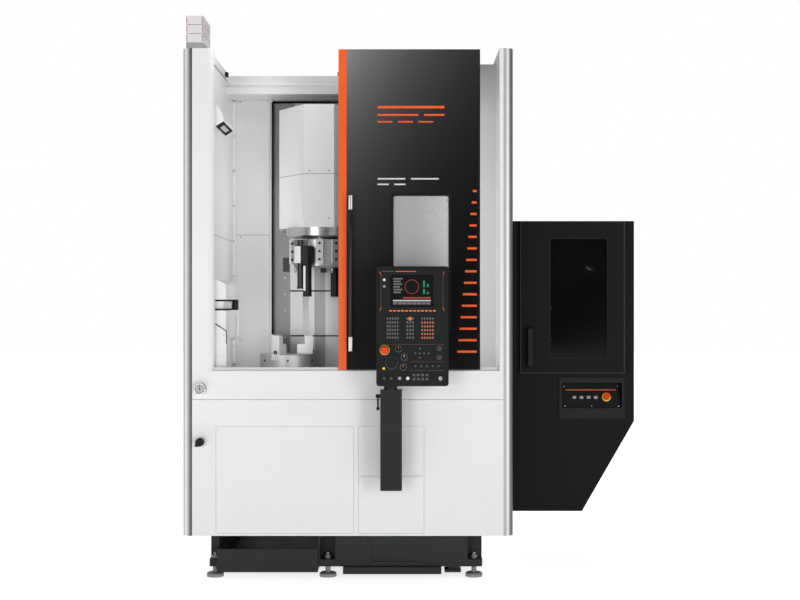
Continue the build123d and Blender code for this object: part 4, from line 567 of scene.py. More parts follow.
def join(whole):
    fresh()
    for part in whole:
        part.select_set(True)
    bpy.context.view_layer.objects.active = whole[0]
    bpy.ops.object.join()
    return settle(whole[0], whole[0].name)


def copy_of(piece):
    hold(piece)
    bpy.ops.object.duplicate(linked=False)
    return bpy.context.object


def repeat(piece, steps):
    """Copies of a piece, each moved by a step, joined with it."""
    whole = [piece]
    for step in steps:
        whole.append(copy_of(piece))
        bpy.ops.transform.translate(value=step)
    return join(whole)


def turned_copies(piece, centre, turns, axis="Z"):
    """Copies of a piece, each turned about a centre, joined with it."""
    whole = [piece]
    for turn in turns:
        whole.append(copy_of(piece))
        bpy.ops.transform.rotate(value=math.radians(turn), orient_axis=axis, center_override=centre)
    return join(whole)


def array(piece, count, step):
    hold(piece)
    rows = piece.modifiers.new("rows", "ARRAY")
    rows.use_relative_offset = False
    rows.use_constant_offset = True
    rows.constant_offset_displace = step
    rows.count = count
    bpy.ops.object.modifier_apply(modifier="rows")
    return piece


def fit(piece, finish, body="frame", slot=None):
    """Gives a finished piece its finish and the body that it moves with."""
    slot = slot or usual_slot[finish.name]
    piece.data.materials.clear()
    piece.data.materials.append(finish)
    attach(piece, body)
    print("made", piece.name, "with", len(piece.data.polygons), "faces on", body)


def screw_row(name, foot, radius, steps, body="frame", finish=ground_steel, slot=None, along=toward):
    fit(repeat(screw(name, foot, along, radius), steps), finish, body, slot)


def centre_of(node):
    """The middle of a CAD node as it is seen from the front: its X and its Z."""
    low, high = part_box(node)
    return (low.x + high.x) / 2, (low.z + high.z) / 2


# %% [markdown]
# ## Pendant face
# The control panel has a screen, blocks of raised keys and a few lit buttons. The CAD has the
# keys in one piece with the plate, so each block gets a layer of thin coloured caps, made as one
# cap and repeated by two array modifiers, and simple marks stand in for the printed legends.

# %% Places on the panel
fascia_low, fascia_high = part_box("pendant_fascia")
margin = Vector((0.012, 0, 0.012))
panel_low = fascia_low - margin
panel_high = fascia_high + margin
panel_wide = panel_high.x - panel_low.x
panel_tall = panel_high.z - panel_low.z
fascia_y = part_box("pendant_housing")[0].y - 0.004


def on_panel(across, down):
    return panel_low.x + panel_wide * across, panel_high.z - panel_tall * down


def panel_point(across, down, out=0.0):
    x, z = on_panel(across, down)
    return x, fascia_y - out, z


def panel_spans(across, down):
    """The X and Z spans of a field, from shares of the panel's width and height."""
    left, top = on_panel(across[0], down[0])
    right, bottom = on_panel(across[1], down[1])
    return (left, right), (bottom, top)


def key_block(name, shares, across, down, fill_share, thick, level):
    """A grid of small caps or marks over one block of keys."""
    (left, right), (bottom, top) = panel_spans(shares[:2], shares[2:])
    step_x = (right - left) / across
    step_z = (top - bottom) / down
    half_x = step_x * fill_share[0] / 2
    half_z = step_z * fill_share[1] / 2
    x, z = left + step_x / 2, top - step_z / 2
    one = film(name, (x - half_x, x + half_x), (z - half_z, z + half_z), level, thick, thick * 0.4)
    array(one, across, (step_x, 0, 0))
    return array(one, down, (0, 0, -step_z))


print("panel", round(panel_wide, 3), "by", round(panel_tall, 3), "m")

# %% Key caps and marks
cap_orange = skin("cap_orange", (0.72, 0.13, 0.025), (0.82, 0.17, 0.03), (0.4, 0.5), 30.0, 900.0, 0.06)
cap_dark = skin("cap_dark", (0.030, 0.032, 0.034), (0.042, 0.044, 0.046), (0.42, 0.55), 30.0, 900.0, 0.08)
mark_light = skin("mark_light", (0.50, 0.51, 0.52), (0.60, 0.61, 0.62), (0.45, 0.55), 40.0, 900.0, 0.02)
mark_dim = skin("mark_dim", (0.075, 0.075, 0.08), (0.11, 0.11, 0.115), (0.45, 0.55), 40.0, 900.0, 0.02)
cap_thick = 0.001
mark_thick = 0.0004
key_top = fascia_y - 0.002
mark_top = key_top - cap_thick
function_keys = (0.17, 0.83, 0.362, 0.38)
left_keys = (0.14, 0.312, 0.42, 0.61)
middle_keys = (0.41, 0.525, 0.42, 0.61)
right_keys = (0.615, 0.80, 0.42, 0.61)
right_columns, right_rows = 5, 6
lower_keys = (0.49, 0.73, 0.89, 0.956)
for name, shares, across, down, finish in (
        ("function_caps", function_keys, 12, 1, cap_orange),
        ("left_caps", left_keys, 5, 6, cap_dark),
        ("middle_caps", middle_keys, 3, 6, cap_dark),
        ("right_caps", right_keys, right_columns, right_rows, cap_dark),
        ("lower_caps", lower_keys, 4, 2, cap_dark)):
    fit(key_block(name, shares, across, down, (0.72, 0.70), cap_thick, key_top), finish, "pendant")
for name, shares, across, down, fill_share, finish in (
        ("left_marks", left_keys, 5, 6, (0.24, 0.15), mark_light),
        ("middle_marks", middle_keys, 3, 6, (0.24, 0.15), mark_light),
        ("lower_marks", lower_keys, 4, 2, (0.5, 0.4), mark_dim)):
    fit(key_block(name, shares, across, down, fill_share, mark_thick, mark_top), finish, "pendant")

# %% Cycle cap and axis marks
big_x, big_z = on_panel(0.4675, 0.437)
big_half = 0.0085
cycle_cap = plate("cycle_cap", (big_x - big_half, mark_top - 0.0012, big_z - big_half),
                  (big_x + big_half, mark_top, big_z + big_half), 0.0005)
fit(cycle_cap, cap_orange, "pendant")
(left, right), (bottom, top) = panel_spans(right_keys[:2], right_keys[2:])
axis_x = (right - left) / right_columns
axis_z = (top - bottom) / right_rows
facing = (math.radians(90), 0, 0)
arrow = cylinder("axis_marks", (left + axis_x / 2, mark_top - 0.00025, top - axis_z * 1.5 - 0.0015),
                 0.0005, 0.0062, facing, 3)
break_edges(arrow, 0.0002, 1)
array(arrow, right_columns, (axis_x, 0, 0))
fit(array(arrow, right_rows - 1, (0, 0, -axis_z)), cap_orange, "pendant")
top_row = (*right_keys[:3], right_keys[2] + (right_keys[3] - right_keys[2]) / right_rows)
marks = key_block("right_marks", top_row, right_columns, 1, (0.24, 0.15), mark_thick, mark_top)
fit(marks, mark_light, "pendant")

# %% [markdown]
# ## Screen
# A running machine shows lists of values and a load dial. Plain fields of colour are enough to
# read as a lit screen: bars for the lists, a ring for the dial and a small stepped graph. They
# glow a little, which is what sets a screen apart from a printed plate.

# %% Screen fields


def glowing(name, dark, light, strength):
    material = skin(name, dark, light, (0.3, 0.4), 20.0, 500.0, 0.0, shine=0.05)
    tree = material.node_tree
    shader = tree.nodes["Principled BSDF"]
    source = shader.inputs["Base Color"].links[0].from_socket
    fill(tree, shader, {"Emission Color": source, "Emission Strength": strength})
    return material


glow_field = glowing("screen_field", (0.004, 0.005, 0.006), (0.006, 0.007, 0.008), 0.4)
glow_grey = glowing("screen_lines", (0.10, 0.10, 0.105), (0.15, 0.15, 0.155), 0.35)
glow_red = glowing("screen_dial", (0.20, 0.03, 0.02), (0.28, 0.045, 0.025), 0.25)
glow_green = glowing("screen_graph", (0.015, 0.17, 0.075), (0.03, 0.24, 0.10), 0.25)
screen_low, screen_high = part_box("pendant_screen")
screen_wide = screen_high.x - screen_low.x
screen_tall = screen_high.z - screen_low.z
ground_thick = 0.0006
screen_level = screen_low.y - ground_thick


def on_screen(across, up):
    return screen_low.x + screen_wide * across, screen_low.z + screen_tall * up


def field(name, x_shares, z_shares, thick=mark_thick, level=screen_level):
    left, bottom = on_screen(x_shares[0], z_shares[0])
    right, top = on_screen(x_shares[1], z_shares[1])
    return film(name, (left, right), (bottom, top), level, thick, thick * 0.4)


ground_field = field("screen_ground", (0.03, 0.97), (0.04, 0.96), ground_thick, screen_low.y)
fit(ground_field, glow_field, "pendant")
list_bars = []
for row in range(6):
    low = 0.86 - row * 0.085
    list_bars.append(field("screen_list", (0.07, (0.28, 0.24, 0.27, 0.22)[row % 4]), (low, low + 0.045)))
for column in range(8):
    left = 0.06 + column * 0.111
    list_bars.append(field("screen_list", (left, left + 0.095), (0.075, 0.145)))
fit(join(list_bars), glow_grey, "pendant")
fit(field("screen_band", (0.30, 0.94), (0.25, 0.31)), glow_red, "pendant")
fit(field("screen_bar", (0.06, 0.94), (0.175, 0.215)), mark_light, "pendant")
graph_bars = []
for column, (low, tall) in enumerate(((0.62, 0.20), (0.62, 0.10), (0.40, 0.16), (0.40, 0.07))):
    left = 0.76 + (column % 2) * 0.09
    graph_bars.append(field("screen_bars", (left, left + 0.045), (low, low + tall)))
fit(join(graph_bars), glow_green, "pendant")
dial_x, dial_z = on_screen(0.50, 0.63)
dial = cylinder("screen_dial", (dial_x, screen_low.y - 0.0008, dial_z), 0.0004, 0.038, facing, 48)
pick_faces(dial, lambda centre, normal: abs(normal.y) > 0.9)
bpy.ops.mesh.inset(thickness=0.0035, depth=0)
bpy.ops.mesh.bridge_edge_loops()
mode("OBJECT")
fit(smooth(dial), glow_red, "pendant")

# %% [markdown]
# ## Lamps, rings and lines on the panel
# Round lamps have a domed lens, the emergency stop sits in a yellow ring so that it is found at
# once, and every override knob has a scale of ticks. Thin coloured lines divide the groups. A ring
# is a disc whose two flat faces are inset and then bridged, which opens the hole.

# %% Lamps and button caps
lamp_white = glowing("lamp_white", (0.62, 0.62, 0.60), (0.74, 0.74, 0.72), 0.25)
lamp_yellow = glowing("lamp_yellow", (0.78, 0.46, 0.03), (0.88, 0.55, 0.05), 0.25)
spindle_lamp = (0.867, 0.684)
turret_lamp = (0.867, 0.758)
for name, share, finish in (
        ("lamp_power", (0.11, 0.113), lamp_white), ("lamp_ready", (0.11, 0.167), grey_plastic),
        ("lamp_alarm", (0.104, 0.851), lamp_yellow), ("lamp_spindle", spindle_lamp, cap_dark),
        ("lamp_turret", turret_lamp, cap_dark)):
    fit(rod(name, panel_point(*share, 0.0035), toward, 0.003, 0.007, 0.0024), finish, "pendant")
for name, share, finish in (("button_a", 0.11, cap_dark), ("button_b", 0.204, cap_dark),
                            ("button_c", 0.3225, grey_plastic), ("button_d", 0.434, lamp_white)):
    fit(rod(name, panel_point(share, 0.933, 0.007), toward, 0.0015, 0.0085, 0.0007), finish, "pendant")

# %% Rings and ticks
clock = range(30, 360, 30)


def open_middle(width):
    """Insets the picked faces and bridges them, with all normals outward."""
    bpy.ops.mesh.inset(thickness=width, depth=0)
    bpy.ops.mesh.bridge_edge_loops()
    bpy.ops.mesh.select_all(action="SELECT")
    bpy.ops.mesh.normals_make_consistent(inside=False)


def ring(name, foot, along, thick, outer, width, sides=40):
    piece = rod(name, foot, along, thick, outer, thick * 0.2, sides)
    axis = Vector(along).normalized()
    ends = (Vector(foot).dot(axis), Vector(foot).dot(axis) + thick)
    pick_faces(piece, lambda centre, normal: abs(normal.dot(axis)) > 0.9
               and min(abs(centre.dot(axis) - end) for end in ends) < 1e-6)
    open_middle(width)
    mode("OBJECT")
    return smooth(piece)


safety_yellow = skin("safety_yellow", (0.78, 0.46, 0.02), (0.86, 0.54, 0.03), (0.35, 0.48), 20.0, 700.0, 0.05)
stop_ring = ring("estop_ring", panel_point(0.116, 0.698), toward, 0.0012, 0.0262, 0.0042)
fit(stop_ring, safety_yellow, "pendant")
for name, share in (("feed_ticks", (0.307, 0.688)), ("rapid_ticks", (0.385, 0.758)),
                    ("spindle_ticks", (0.3725, 0.842))):
    x, z = on_panel(*share)
    tick = film(name, (x - 0.0008, x + 0.0008), (z + 0.0145, z + 0.0185), fascia_y, mark_thick)
    fit(turned_copies(tick, (x, fascia_y, z), clock, "Y"), mark_light, "pendant")

# %% Pointers, scales and key slot
inlay = 0.001
inlay_thick = 0.0014
for knob, finish in (("feed_override_knob", cap_orange), ("rapid_override_knob", mark_light),
                     ("spindle_override_knob", cap_orange)):
    x, z = centre_of(knob)
    pointer = film(knob + "_pointer", (x - 0.0016, x + 0.0016), (z + 0.001, z + 0.0115),
                   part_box(knob)[0].y + inlay, inlay_thick, 0.0003)
    fit(pointer, finish, knob, "orange_trim")
wheel_low, wheel_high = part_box("handwheel")
wheel_out = (wheel_high.x - wheel_low.x) / 2 + 0.0045
for name, (x, z), thick, outer, width in (
        ("lamp_ring_a", on_panel(*spindle_lamp), 0.002, 0.0125, 0.0035),
        ("lamp_ring_b", on_panel(*turret_lamp), 0.002, 0.0125, 0.0035),
        ("wheel_scale", centre_of("handwheel"), 0.0006, wheel_out, 0.0022)):
    fit(ring(name, (x, fascia_y, z), toward, thick, outer, width), mark_dim, "pendant")
key_low, key_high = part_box("key_switch")
key_x = centre_of("key_switch")[0]
key_slot = film("key_slot", (key_x - 0.0013, key_x + 0.0013), (key_low.z + 0.006, key_high.z - 0.006),
                key_low.y + inlay, inlay_thick, 0.0003)
fit(key_slot, rubber_black, "key_switch", "plastic_black")

# %% Lines and small marks
line_dim = skin("line_dim", (0.16, 0.055, 0.035), (0.21, 0.075, 0.045), (0.45, 0.55), 30.0, 900.0, 0.02)
print_thick = 0.0005
line_shares = (((0.0645, 0.0685), (0.073, 0.342)), ((0.918, 0.922), (0.073, 0.342)),
               ((0.06, 0.94), (0.649, 0.6512)), ((0.479, 0.935), (0.794, 0.7962)),
               ((0.479, 0.935), (0.868, 0.8702)))
panel_lines = [film("panel_lines", *panel_spans(*shares), fascia_y, print_thick) for shares in line_shares]
fit(join(panel_lines), line_dim, "pendant")
corners = []
for across, down, turn in ((0.059, 0.0585, 28), (0.059, 0.3565, -28),
                           (0.9275, 0.0585, -28), (0.9275, 0.3565, 28)):
    corners.append(block("panel_corners", panel_point(across, down, 0.0003), (0.0024, 0.0006, 0.0205),
                         (0, math.radians(-turn), 0), 0.0002))
corners.append(film("panel_corners", *panel_spans((0.27, 0.55), (0.040, 0.046)), fascia_y, print_thick))
fit(join(corners), cap_orange, "pendant")
dot_shares = ((0.60, 0.685), (0.60, 0.725), (0.60, 0.762), (0.54, 0.725), (0.66, 0.725), (0.725, 0.725),
              (0.54, 0.832), (0.62, 0.832), (0.70, 0.832), (0.78, 0.832), (0.86, 0.832))
dots = [rod("panel_dots", panel_point(*share), toward, 0.0012, 0.0048, 0.0004, 16) for share in dot_shares]
dots.append(film("panel_dots", *panel_spans((0.085, 0.25), (0.040, 0.045)), fascia_y, print_thick))
fit(join(dots), mark_dim, "pendant")

# %% [markdown]
# ## Sliding door
# The door is a glossy black sheet with an orange edge. Its window sits in a rubber gasket, which
# is a frame: a flat box whose front and back are inset and bridged. The stripes on the sheet are
# thin strips of film, plain dashes that carry no name or sign.

# %% Door gasket


def frame_piece(name, low, high, width, edge):
    """A flat rectangular frame that faces the front."""
    piece = cube(name, *middle_and_size(low, high))
    pick_faces(piece, lambda centre, normal: abs(normal.y) > 0.9)
    open_middle(width)
    bpy.ops.mesh.bevel(offset=edge, segments=1, affect="EDGES")
    mode("OBJECT")
    return piece


door_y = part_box("front_door")[0].y
pane_low, pane_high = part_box("door_window")
lap = 0.002
gasket = frame_piece("door_gasket", (pane_low.x - lap, door_y - 0.001, pane_low.z - lap),
                     (pane_high.x + lap, door_y + 0.004, pane_high.z + lap), 0.012, 0.0008)
fit(gasket, rubber_black, "front_door")

# %% Door stripes
film_thick = 0.0006
stripes = []
for left, right, low, tall in (
        (-0.20, 0.16, 2.560, 0.014), (-0.20, 0.02, 2.520, 0.010), (0.05, 0.16, 2.520, 0.010),
        (-0.20, -0.12, 2.484, 0.008), (-0.09, -0.01, 2.484, 0.008), (0.02, 0.10, 2.484, 0.008)):
    stripes.append(film("door_stripes", (left, right), (low, low + tall), door_y, film_thick))
ladder_right = 0.335
for row in range(15):
    low = 1.24 + row * 0.062
    wide = 0.105 - 0.006 * row
    x_span = (ladder_right - wide, ladder_right)
    stripes.append(film("door_stripes", x_span, (low, low + 0.012), door_y, film_thick))
fit(join(stripes), orange_paint, "front_door")
pale_film = skin("pale_film", (0.60, 0.60, 0.60), (0.70, 0.70, 0.70), (0.4, 0.5), 8.0, 600.0, 0.02, shine=0.2)
dashes = [film("door_pale_dashes", (left, right), (low, low + 0.008), door_y, film_thick)
          for left, right, low in ((-0.20, -0.05, 2.176), (-0.02, 0.13, 2.176),
                                   (-0.20, -0.14, 2.146), (-0.11, -0.05, 2.146))]
fit(join(dashes), pale_film, "front_door")

# %% Door grip
grip_low, grip_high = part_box("door_handle")
grip_end = 0.0755
grip = rod("door_grip", (centre_of("door_handle")[0], grip_low.y + 0.011, grip_low.z + grip_end), upward,
           grip_high.z - grip_low.z - grip_end * 2, 0.0104, 0.0015)
fit(grip, dark_steel, "front_door")

# %% [markdown]
# ## Machining room
# Sheet walls meet at dark seams and are held by rows of small screws. A wiper strip runs down the
# edge of the rear wall, where the steel cover slides past it. The screws start as a cylinder whose
# top is inset and pushed in, and a row is the first one copied to each place.

# %% Wall seams and screws
wall_x = -1.0865
back_y = -0.161
room_low, room_high = 1.145, 2.715
rail_left, rail_right = -0.866, -0.853
strip_deep = 0.034
rail_deep = 0.008
seam = 0.0008
seam_dark = skin("seam_shadow", (0.16, 0.165, 0.165), (0.22, 0.225, 0.225), (0.6, 0.7), 20.0, 400.0, 0.05)
seams = [plate("wall_seams", (wall_x, -0.96, 1.8768), (wall_x + seam, back_y, 1.8792), 0.0002, 1),
         film("wall_seams", (wall_x, rail_left), (1.9158, 1.9182), back_y, seam),
         plate("wall_seams", (wall_x, -0.96, 2.7945), (wall_x + seam, back_y, 2.8025), 0.0002, 1)]
fit(join(seams), seam_dark)
corner_strip = plate("corner_strip", (wall_x, back_y - strip_deep, room_low),
                     (wall_x + 0.021, back_y, room_high), 0.0015)
fit(corner_strip, inner_paint)
screw_row("corner_screws", (wall_x + 0.0105, back_y - strip_deep, 1.25), 0.005,
          [(0, 0, 0.21 * row) for row in range(1, 7)])
screw_row("rear_screws", (-1.042, back_y, 1.905), 0.0055,
          [(0.166, 0, 0), (0, 0, 0.815), (0.166, 0, 0.815), (0, 0, -0.62), (0.166, 0, -0.62)])
rail = plate("wiper_rail", (rail_left, back_y - rail_deep, room_low), (rail_right, back_y, room_high), 0.001)
fit(rail, stainless, slot="aluminium")
lip = plate("wiper_lip", (rail_right, back_y - 0.005, room_low), (-0.8455, back_y + 0.004, room_high), 0.001)
fit(lip, rubber_black)
screw_row("wiper_screws", (-0.8595, back_y - rail_deep, 1.30), 0.004,
          [(0, 0, 0.23 * row) for row in range(1, 7)])

# %% Cover screws, and the wiper lips of the Z covers with painted shade under their edges
screw_row("cover_screws", (-0.776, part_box("x_cover")[0].y, 1.30), 0.006,
          [(0, 0, step) for step in (0.16, 0.26, 0.36, 0.60, 0.84, 1.08)],
          "x_carriage", stainless, "steel_bright")
rise, lip_thick, lip_tall = 0.016, 0.0016, 0.008
for node, body in (("z_cover_middle", "z_cover_middle"), ("z_cover_upper", "z_slide")):
    low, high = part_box(node)
    raised = low.y
    flat = low.y + rise
    # The dark rubber lips are the covers' wipers, and they also stand for the shade under each overlapping
    # edge: partly painted shade.
    lips_and_shade = [film(node + "_lip", x_span, (low.z, low.z + lip_tall), level, lip_thick, 0.0005)
            for x_span, level in (((low.x, -0.669), flat), ((-0.631, -0.445), raised),
                                  ((-0.407, high.x), flat))]
    for middle_x, side in ((-0.650, -1), (-0.426, 1)):
        middle = (middle_x, (raised + flat) / 2 - lip_thick / 2, low.z + lip_tall / 2)
        turn = (0, 0, math.atan2(rise * side, 0.040))
        lips_and_shade.append(block(node + "_lip", middle, (0.044, lip_thick, lip_tall), turn, 0.0005, 1))
    fit(join(lips_and_shade), rubber_black, body)

# %% [markdown]
# ## Work light, tool setter and drain box
# The lamp on the wall throws its light down and across the chuck through a flat glass in a dark
# frame. The tool setter's arm comes out of a slot that is lined with black rubber, and a black plate
# at the back of the slot is painted shade in its cavity. Both pieces follow slanted or narrow faces
# of the CAD, so they are placed from its corners. The drain box below is a plate whose top edge is
# pulled down on one side, which gives it a sloping lid, and black strips along its gaps are painted
# shadow.

# %% Lamp glass and setter slot
lamp_low, lamp_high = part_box("work_light")
slope = math.atan2(0.028, lamp_high.x - lamp_low.x)
along_face = Vector((math.cos(slope), 0, math.sin(slope)))
out_of_face = Vector((math.sin(slope), 0, -math.cos(slope)))
face_middle = Vector((lamp_low.x, (lamp_low.y + lamp_high.y) / 2, lamp_low.z)) + along_face * 0.0265
lamp_glass = glowing("lamp_glass", (0.36, 0.37, 0.37), (0.44, 0.45, 0.45), 0.12)
for name, out, size, finish in (("lamp_frame", 0.001, (0.050, 0.39, 0.004), rubber_black),
                                ("lamp_pane", 0.003, (0.025, 0.215, 0.003), lamp_glass)):
    fit(block(name, face_middle + out_of_face * out, size, (0, -slope, 0), 0.001), finish)
setter_x = -1.0285
inner, outer = setter_x - 0.004, setter_x + 0.0015
slot_rear = -0.377
# Black strips line the slot's edges, and the plate across the rear part of the slot is painted shade in its
# cavity.
slot_shade_corners = [((inner, -0.917, edge - 0.004), (outer, slot_rear, edge + 0.005)) for edge in (1.472, 1.522)]
slot_shade_corners.append(((inner, -0.560, 1.468), (outer, slot_rear, 1.527)))
slot_shade_corners += [((wall_x, -0.9185, edge - 0.004), (outer, -0.912, edge + 0.005)) for edge in (1.472, 1.522)]
slot_lining_and_shade = [plate("setter_lining_and_shade", low, high, 0.0008) for low, high in slot_shade_corners]
fit(join(slot_lining_and_shade), rubber_black)

# %% Drain box and bumper
box_wide, lid_drop = 0.0605, 0.040
drain_box = plate("drain_box", (wall_x, -0.919, 1.150), (wall_x + box_wide, -0.80, 1.394), 0.0015)
pick_faces(drain_box, lambda centre, normal: centre.z > 1.39 and centre.x > wall_x + 0.0585)
bpy.ops.transform.translate(value=(0, 0, -lid_drop))
mode("OBJECT")
fit(drain_box, inner_paint)
# Painted shadow: thin black strips along the gap under the sloping lid and down the box's edge, where there
# is only shade; they take the black rubber finish.
shadow_strips = [block("drain_shadow_strips", (wall_x + 0.030, -0.918, 1.376), (0.072, 0.007, 0.005),
             (0, math.atan2(lid_drop, box_wide), 0), 0.001),
       plate("drain_shadow_strips", (wall_x + box_wide, -0.9215, 1.288), (wall_x + 0.0635, -0.9135, 1.356), 0.0008)]
fit(join(shadow_strips), rubber_black)
screw_row("drain_screws", (wall_x + 0.014, -0.917, 1.335), 0.0045,
          [(0.032, 0, 0), (0, 0, -0.12), (0.032, 0, -0.12)])
bumper = plate("wall_bumper", (wall_x, -0.520, 2.812), (wall_x + 0.016, -0.480, 2.838), 0.003)
fit(bumper, rubber_black)

# %% [markdown]
# ## Turret, chuck and hood
# Three screws clamp a tool station, and a coolant nozzle sits by the foremost holder. Each is
# modelled once and turned about the drum's axis to the other stations. The hood is built from two
# sheets, which leaves a seam across its front and its slanted sides.

# %% Station screws, nozzles, clamps and painted tool highlights


def turned_to(axis, angle, level, out, aside=0.0):
    """A place at an angle round an upright axis, and the direction outward there."""
    outward = Vector((math.cos(math.radians(angle)), math.sin(math.radians(angle)), 0))
    sideward = Vector((-outward.y, outward.x, 0))
    return Vector((axis.x, axis.y, level)) + outward * out + sideward * aside, outward


station = screw("station_screws", (drum_axis.x, drum_axis.y - 0.185, 1.757), toward, 0.0075)
station = repeat(station, [(0, 0, 0.046), (0, 0, 0.092)])
fit(turned_copies(station, drum_axis, (60, 120, 150, 240, 300, 330)), dark_steel, "turret")
nozzle = rod("coolant_nozzle", (drum_axis.x - 0.055, drum_axis.y - 0.150, 1.722), (0, -0.3, -1),
             0.036, 0.008, 0.003)
fit(turned_copies(nozzle, drum_axis, (90, 180, 270)), ground_steel, "turret")
holder_turn = (0, 0, math.radians(-30))
# The holder clamps are bright steel blocks. The second row is painted highlight: bright steel strips on the
# face of each bar's shank, standing in for light caught on it.
for name, level, out, aside, size, edge in (
        ("holder_clamps", 1.782, 0.244, -0.001, (0.040, 0.006, 0.096), 0.001),
        ("painted_tool_highlights", 1.648, 0.2313, 0.0375, (0.014, 0.003, 0.140), 0.0008)):
    middle = turned_to(drum_axis, 240, level, out, aside)[0]
    holder = block(name, middle, size, holder_turn, edge)
    fit(turned_copies(holder, drum_axis, (180, 240)), jaw_steel, "turret")

# %% Chuck bolts
for jaw, angle in (("1", 248), ("2", 8), ("3", 128)):
    seat, outward = turned_to(chuck_axis, angle, 1.224, 0.142)
    fit(screw("jaw_bolt_" + jaw, seat, outward, 0.011), rubber_black, "jaw_" + jaw, "steel_dark")
seat, outward = turned_to(chuck_axis, 276, 1.177, 0.1535)
rim_bolt = screw("rim_bolts", seat, outward, 0.006)
fit(turned_copies(rim_bolt, chuck_axis, (56, 120, 176, 240, 296)), rubber_black, "spindle", "steel_dark")

# %% Hood seam and screws
hood_y = -0.629
hood_seam = [film("hood_seam", (drum_axis.x - 0.0845, drum_axis.x + 0.0845), (2.2407, 2.2433), hood_y, seam)]
side_run = Vector((0.165, 0.253, 0))
for side in (-1, 1):
    middle = Vector((drum_axis.x + side * 0.167, -0.5025, 2.242))
    turn = (0, 0, math.atan2(side_run.y, side * side_run.x))
    hood_seam.append(block("hood_seam", middle, (side_run.length, 0.0016, 0.0026), turn, 0.0003, 1))
fit(join(hood_seam), seam_dark, "z_slide")
screw_row("hood_screws", (drum_axis.x - 0.055, hood_y, 2.258), 0.005,
          [(0.11, 0, 0), (0, 0, -0.27), (0.11, 0, -0.27)], "z_slide")

# %% [markdown]
# ## Gauge, console and side cabinet
# The air gauge has a pale dial with ticks and a needle. The loader's console carries four keys
# and a stop under a thin line, on a plate that leans back, so each of its pieces is made upright
# and turned by the same lean as it is added.

# %% Gauge dial
gauge_x, gauge_z = centre_of("pressure_gauge")
dial_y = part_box("pressure_gauge")[0].y + 0.005
dial_top = dial_y - 0.001
dial_paper = skin("dial_paper", (0.44, 0.45, 0.45), (0.52, 0.53, 0.53), (0.5, 0.6), 30.0, 600.0, 0.02)
fit(rod("gauge_dial", (gauge_x, dial_y, gauge_z), toward, 0.001, 0.027, 0.0003, 40), dial_paper)
tick = film("gauge_ticks", (gauge_x - 0.001, gauge_x + 0.001), (gauge_z + 0.019, gauge_z + 0.025),
            dial_top, mark_thick, 0.0001)
fit(turned_copies(tick, (gauge_x, dial_y, gauge_z), clock, "Y"), black_plastic)
needle = [film("gauge_needle", (gauge_x - 0.0014, gauge_x + 0.0014), (gauge_z - 0.006, gauge_z + 0.020),
               dial_top - mark_thick, 0.0006),
          rod("gauge_needle", (gauge_x, dial_top, gauge_z), toward, 0.0018, 0.004, 0.0004, 20)]
fit(join(needle), black_plastic)

# %% Console face
console_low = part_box("side_console")[0]
lean = math.atan2(0.046, 0.145)
console_foot = Vector((console_low.x, console_low.y + 0.014, console_low.z + 0.059))
up_console = Vector((0, math.sin(lean), math.cos(lean)))
out_console = Vector((0, -math.cos(lean), math.sin(lean)))


def on_console(across, up, out):
    return console_foot + Vector((across, 0, 0)) + up_console * up + out_console * out


leaning = (-lean, 0, 0)
line = block("console_line", on_console(0.1865, 0.106, 0.0003), (0.29, 0.0008, 0.0045), leaning, 0.0002, 1)
fit(line, cap_orange)
key = block("console_caps", on_console(0.090, 0.0615, 0.0036), (0.020, 0.0014, 0.016), leaning, 0.0004, 1)
fit(repeat(key, [(0.0407 * column, 0, 0) for column in range(1, 4)]), grey_plastic)
stop_foot = on_console(0.2738, 0.064, 0)
fit(ring("console_ring", stop_foot, out_console, 0.0014, 0.026, 0.0075), safety_yellow)
studs = [rod("console_studs", on_console(across, up, 0), out_console, 0.002, 0.004, 0.0006, 16)
         for across, up in ((0.034, 0.012), (0.1865, 0.012), (0.339, 0.012), (0.034, 0.128), (0.339, 0.128))]
fit(join(studs), ground_steel)

# %% Hose clamps, and the gasket and painted edge highlight of the side door
hose_low, hose_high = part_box("coolant_hose")
leg_x = hose_high.x - 0.017
leg_y = (hose_low.y + hose_high.y) / 2
clamps = [ring("hose_clamps", (leg_x, leg_y, level), upward, 0.026, 0.0215, 0.0042) for level in (1.27, 1.46)]
fit(join(clamps), stainless)
side_low, side_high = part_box("side_door")
glass_low, glass_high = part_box("side_window")
side_y = side_low.y
lap = 0.004
gasket = frame_piece("side_gasket", (glass_low.x + lap, side_y - 0.001, glass_low.z + lap),
                     (glass_high.x - lap, side_y + 0.004, glass_high.z - lap), 0.010, 0.0008)
fit(gasket, rubber_black, "side_door")
# Painted highlight: a thin frame, a little lighter than the black cabinet, runs along the side door's edges,
# standing in for light caught on them.
painted_edge_highlight = skin("painted_edge_highlight", (0.030, 0.031, 0.031), (0.042, 0.043, 0.043), (0.35, 0.45), 10.0, 400.0, 0.05)
hinge_side = 0.034
edge_highlight_frame = frame_piece("side_door_edge_highlight", (side_low.x + 0.0005, side_y - 0.0006, side_low.z + 0.0005),
                   (side_high.x - hinge_side, side_y + 0.002, side_high.z - 0.0005), 0.0028, 0.0004)
fit(edge_highlight_frame, painted_edge_highlight, "side_door")

# %% [markdown]
# ## Back of the machine
# The electrical cabinet breathes through louvres in its door. One slat is a thin box that leans
# out at the bottom, and an array modifier stacks the rest. Seams and screws show how the large
# covers are put together, four eye bolts on the roof lift the machine, and cables enter the
# cabinet through glands on its top.

# %% Louvres
back_low, back_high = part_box("electrical_door")
slats = block("door_louvres", (centre_of("electrical_door")[0], back_high.y + 0.0005, 0.74),
              (0.42, 0.003, 0.016), (math.radians(-28), 0, 0), 0.0008)
fit(array(slats, 9, (0, 0, 0.024)), white_paint, "electrical_door")

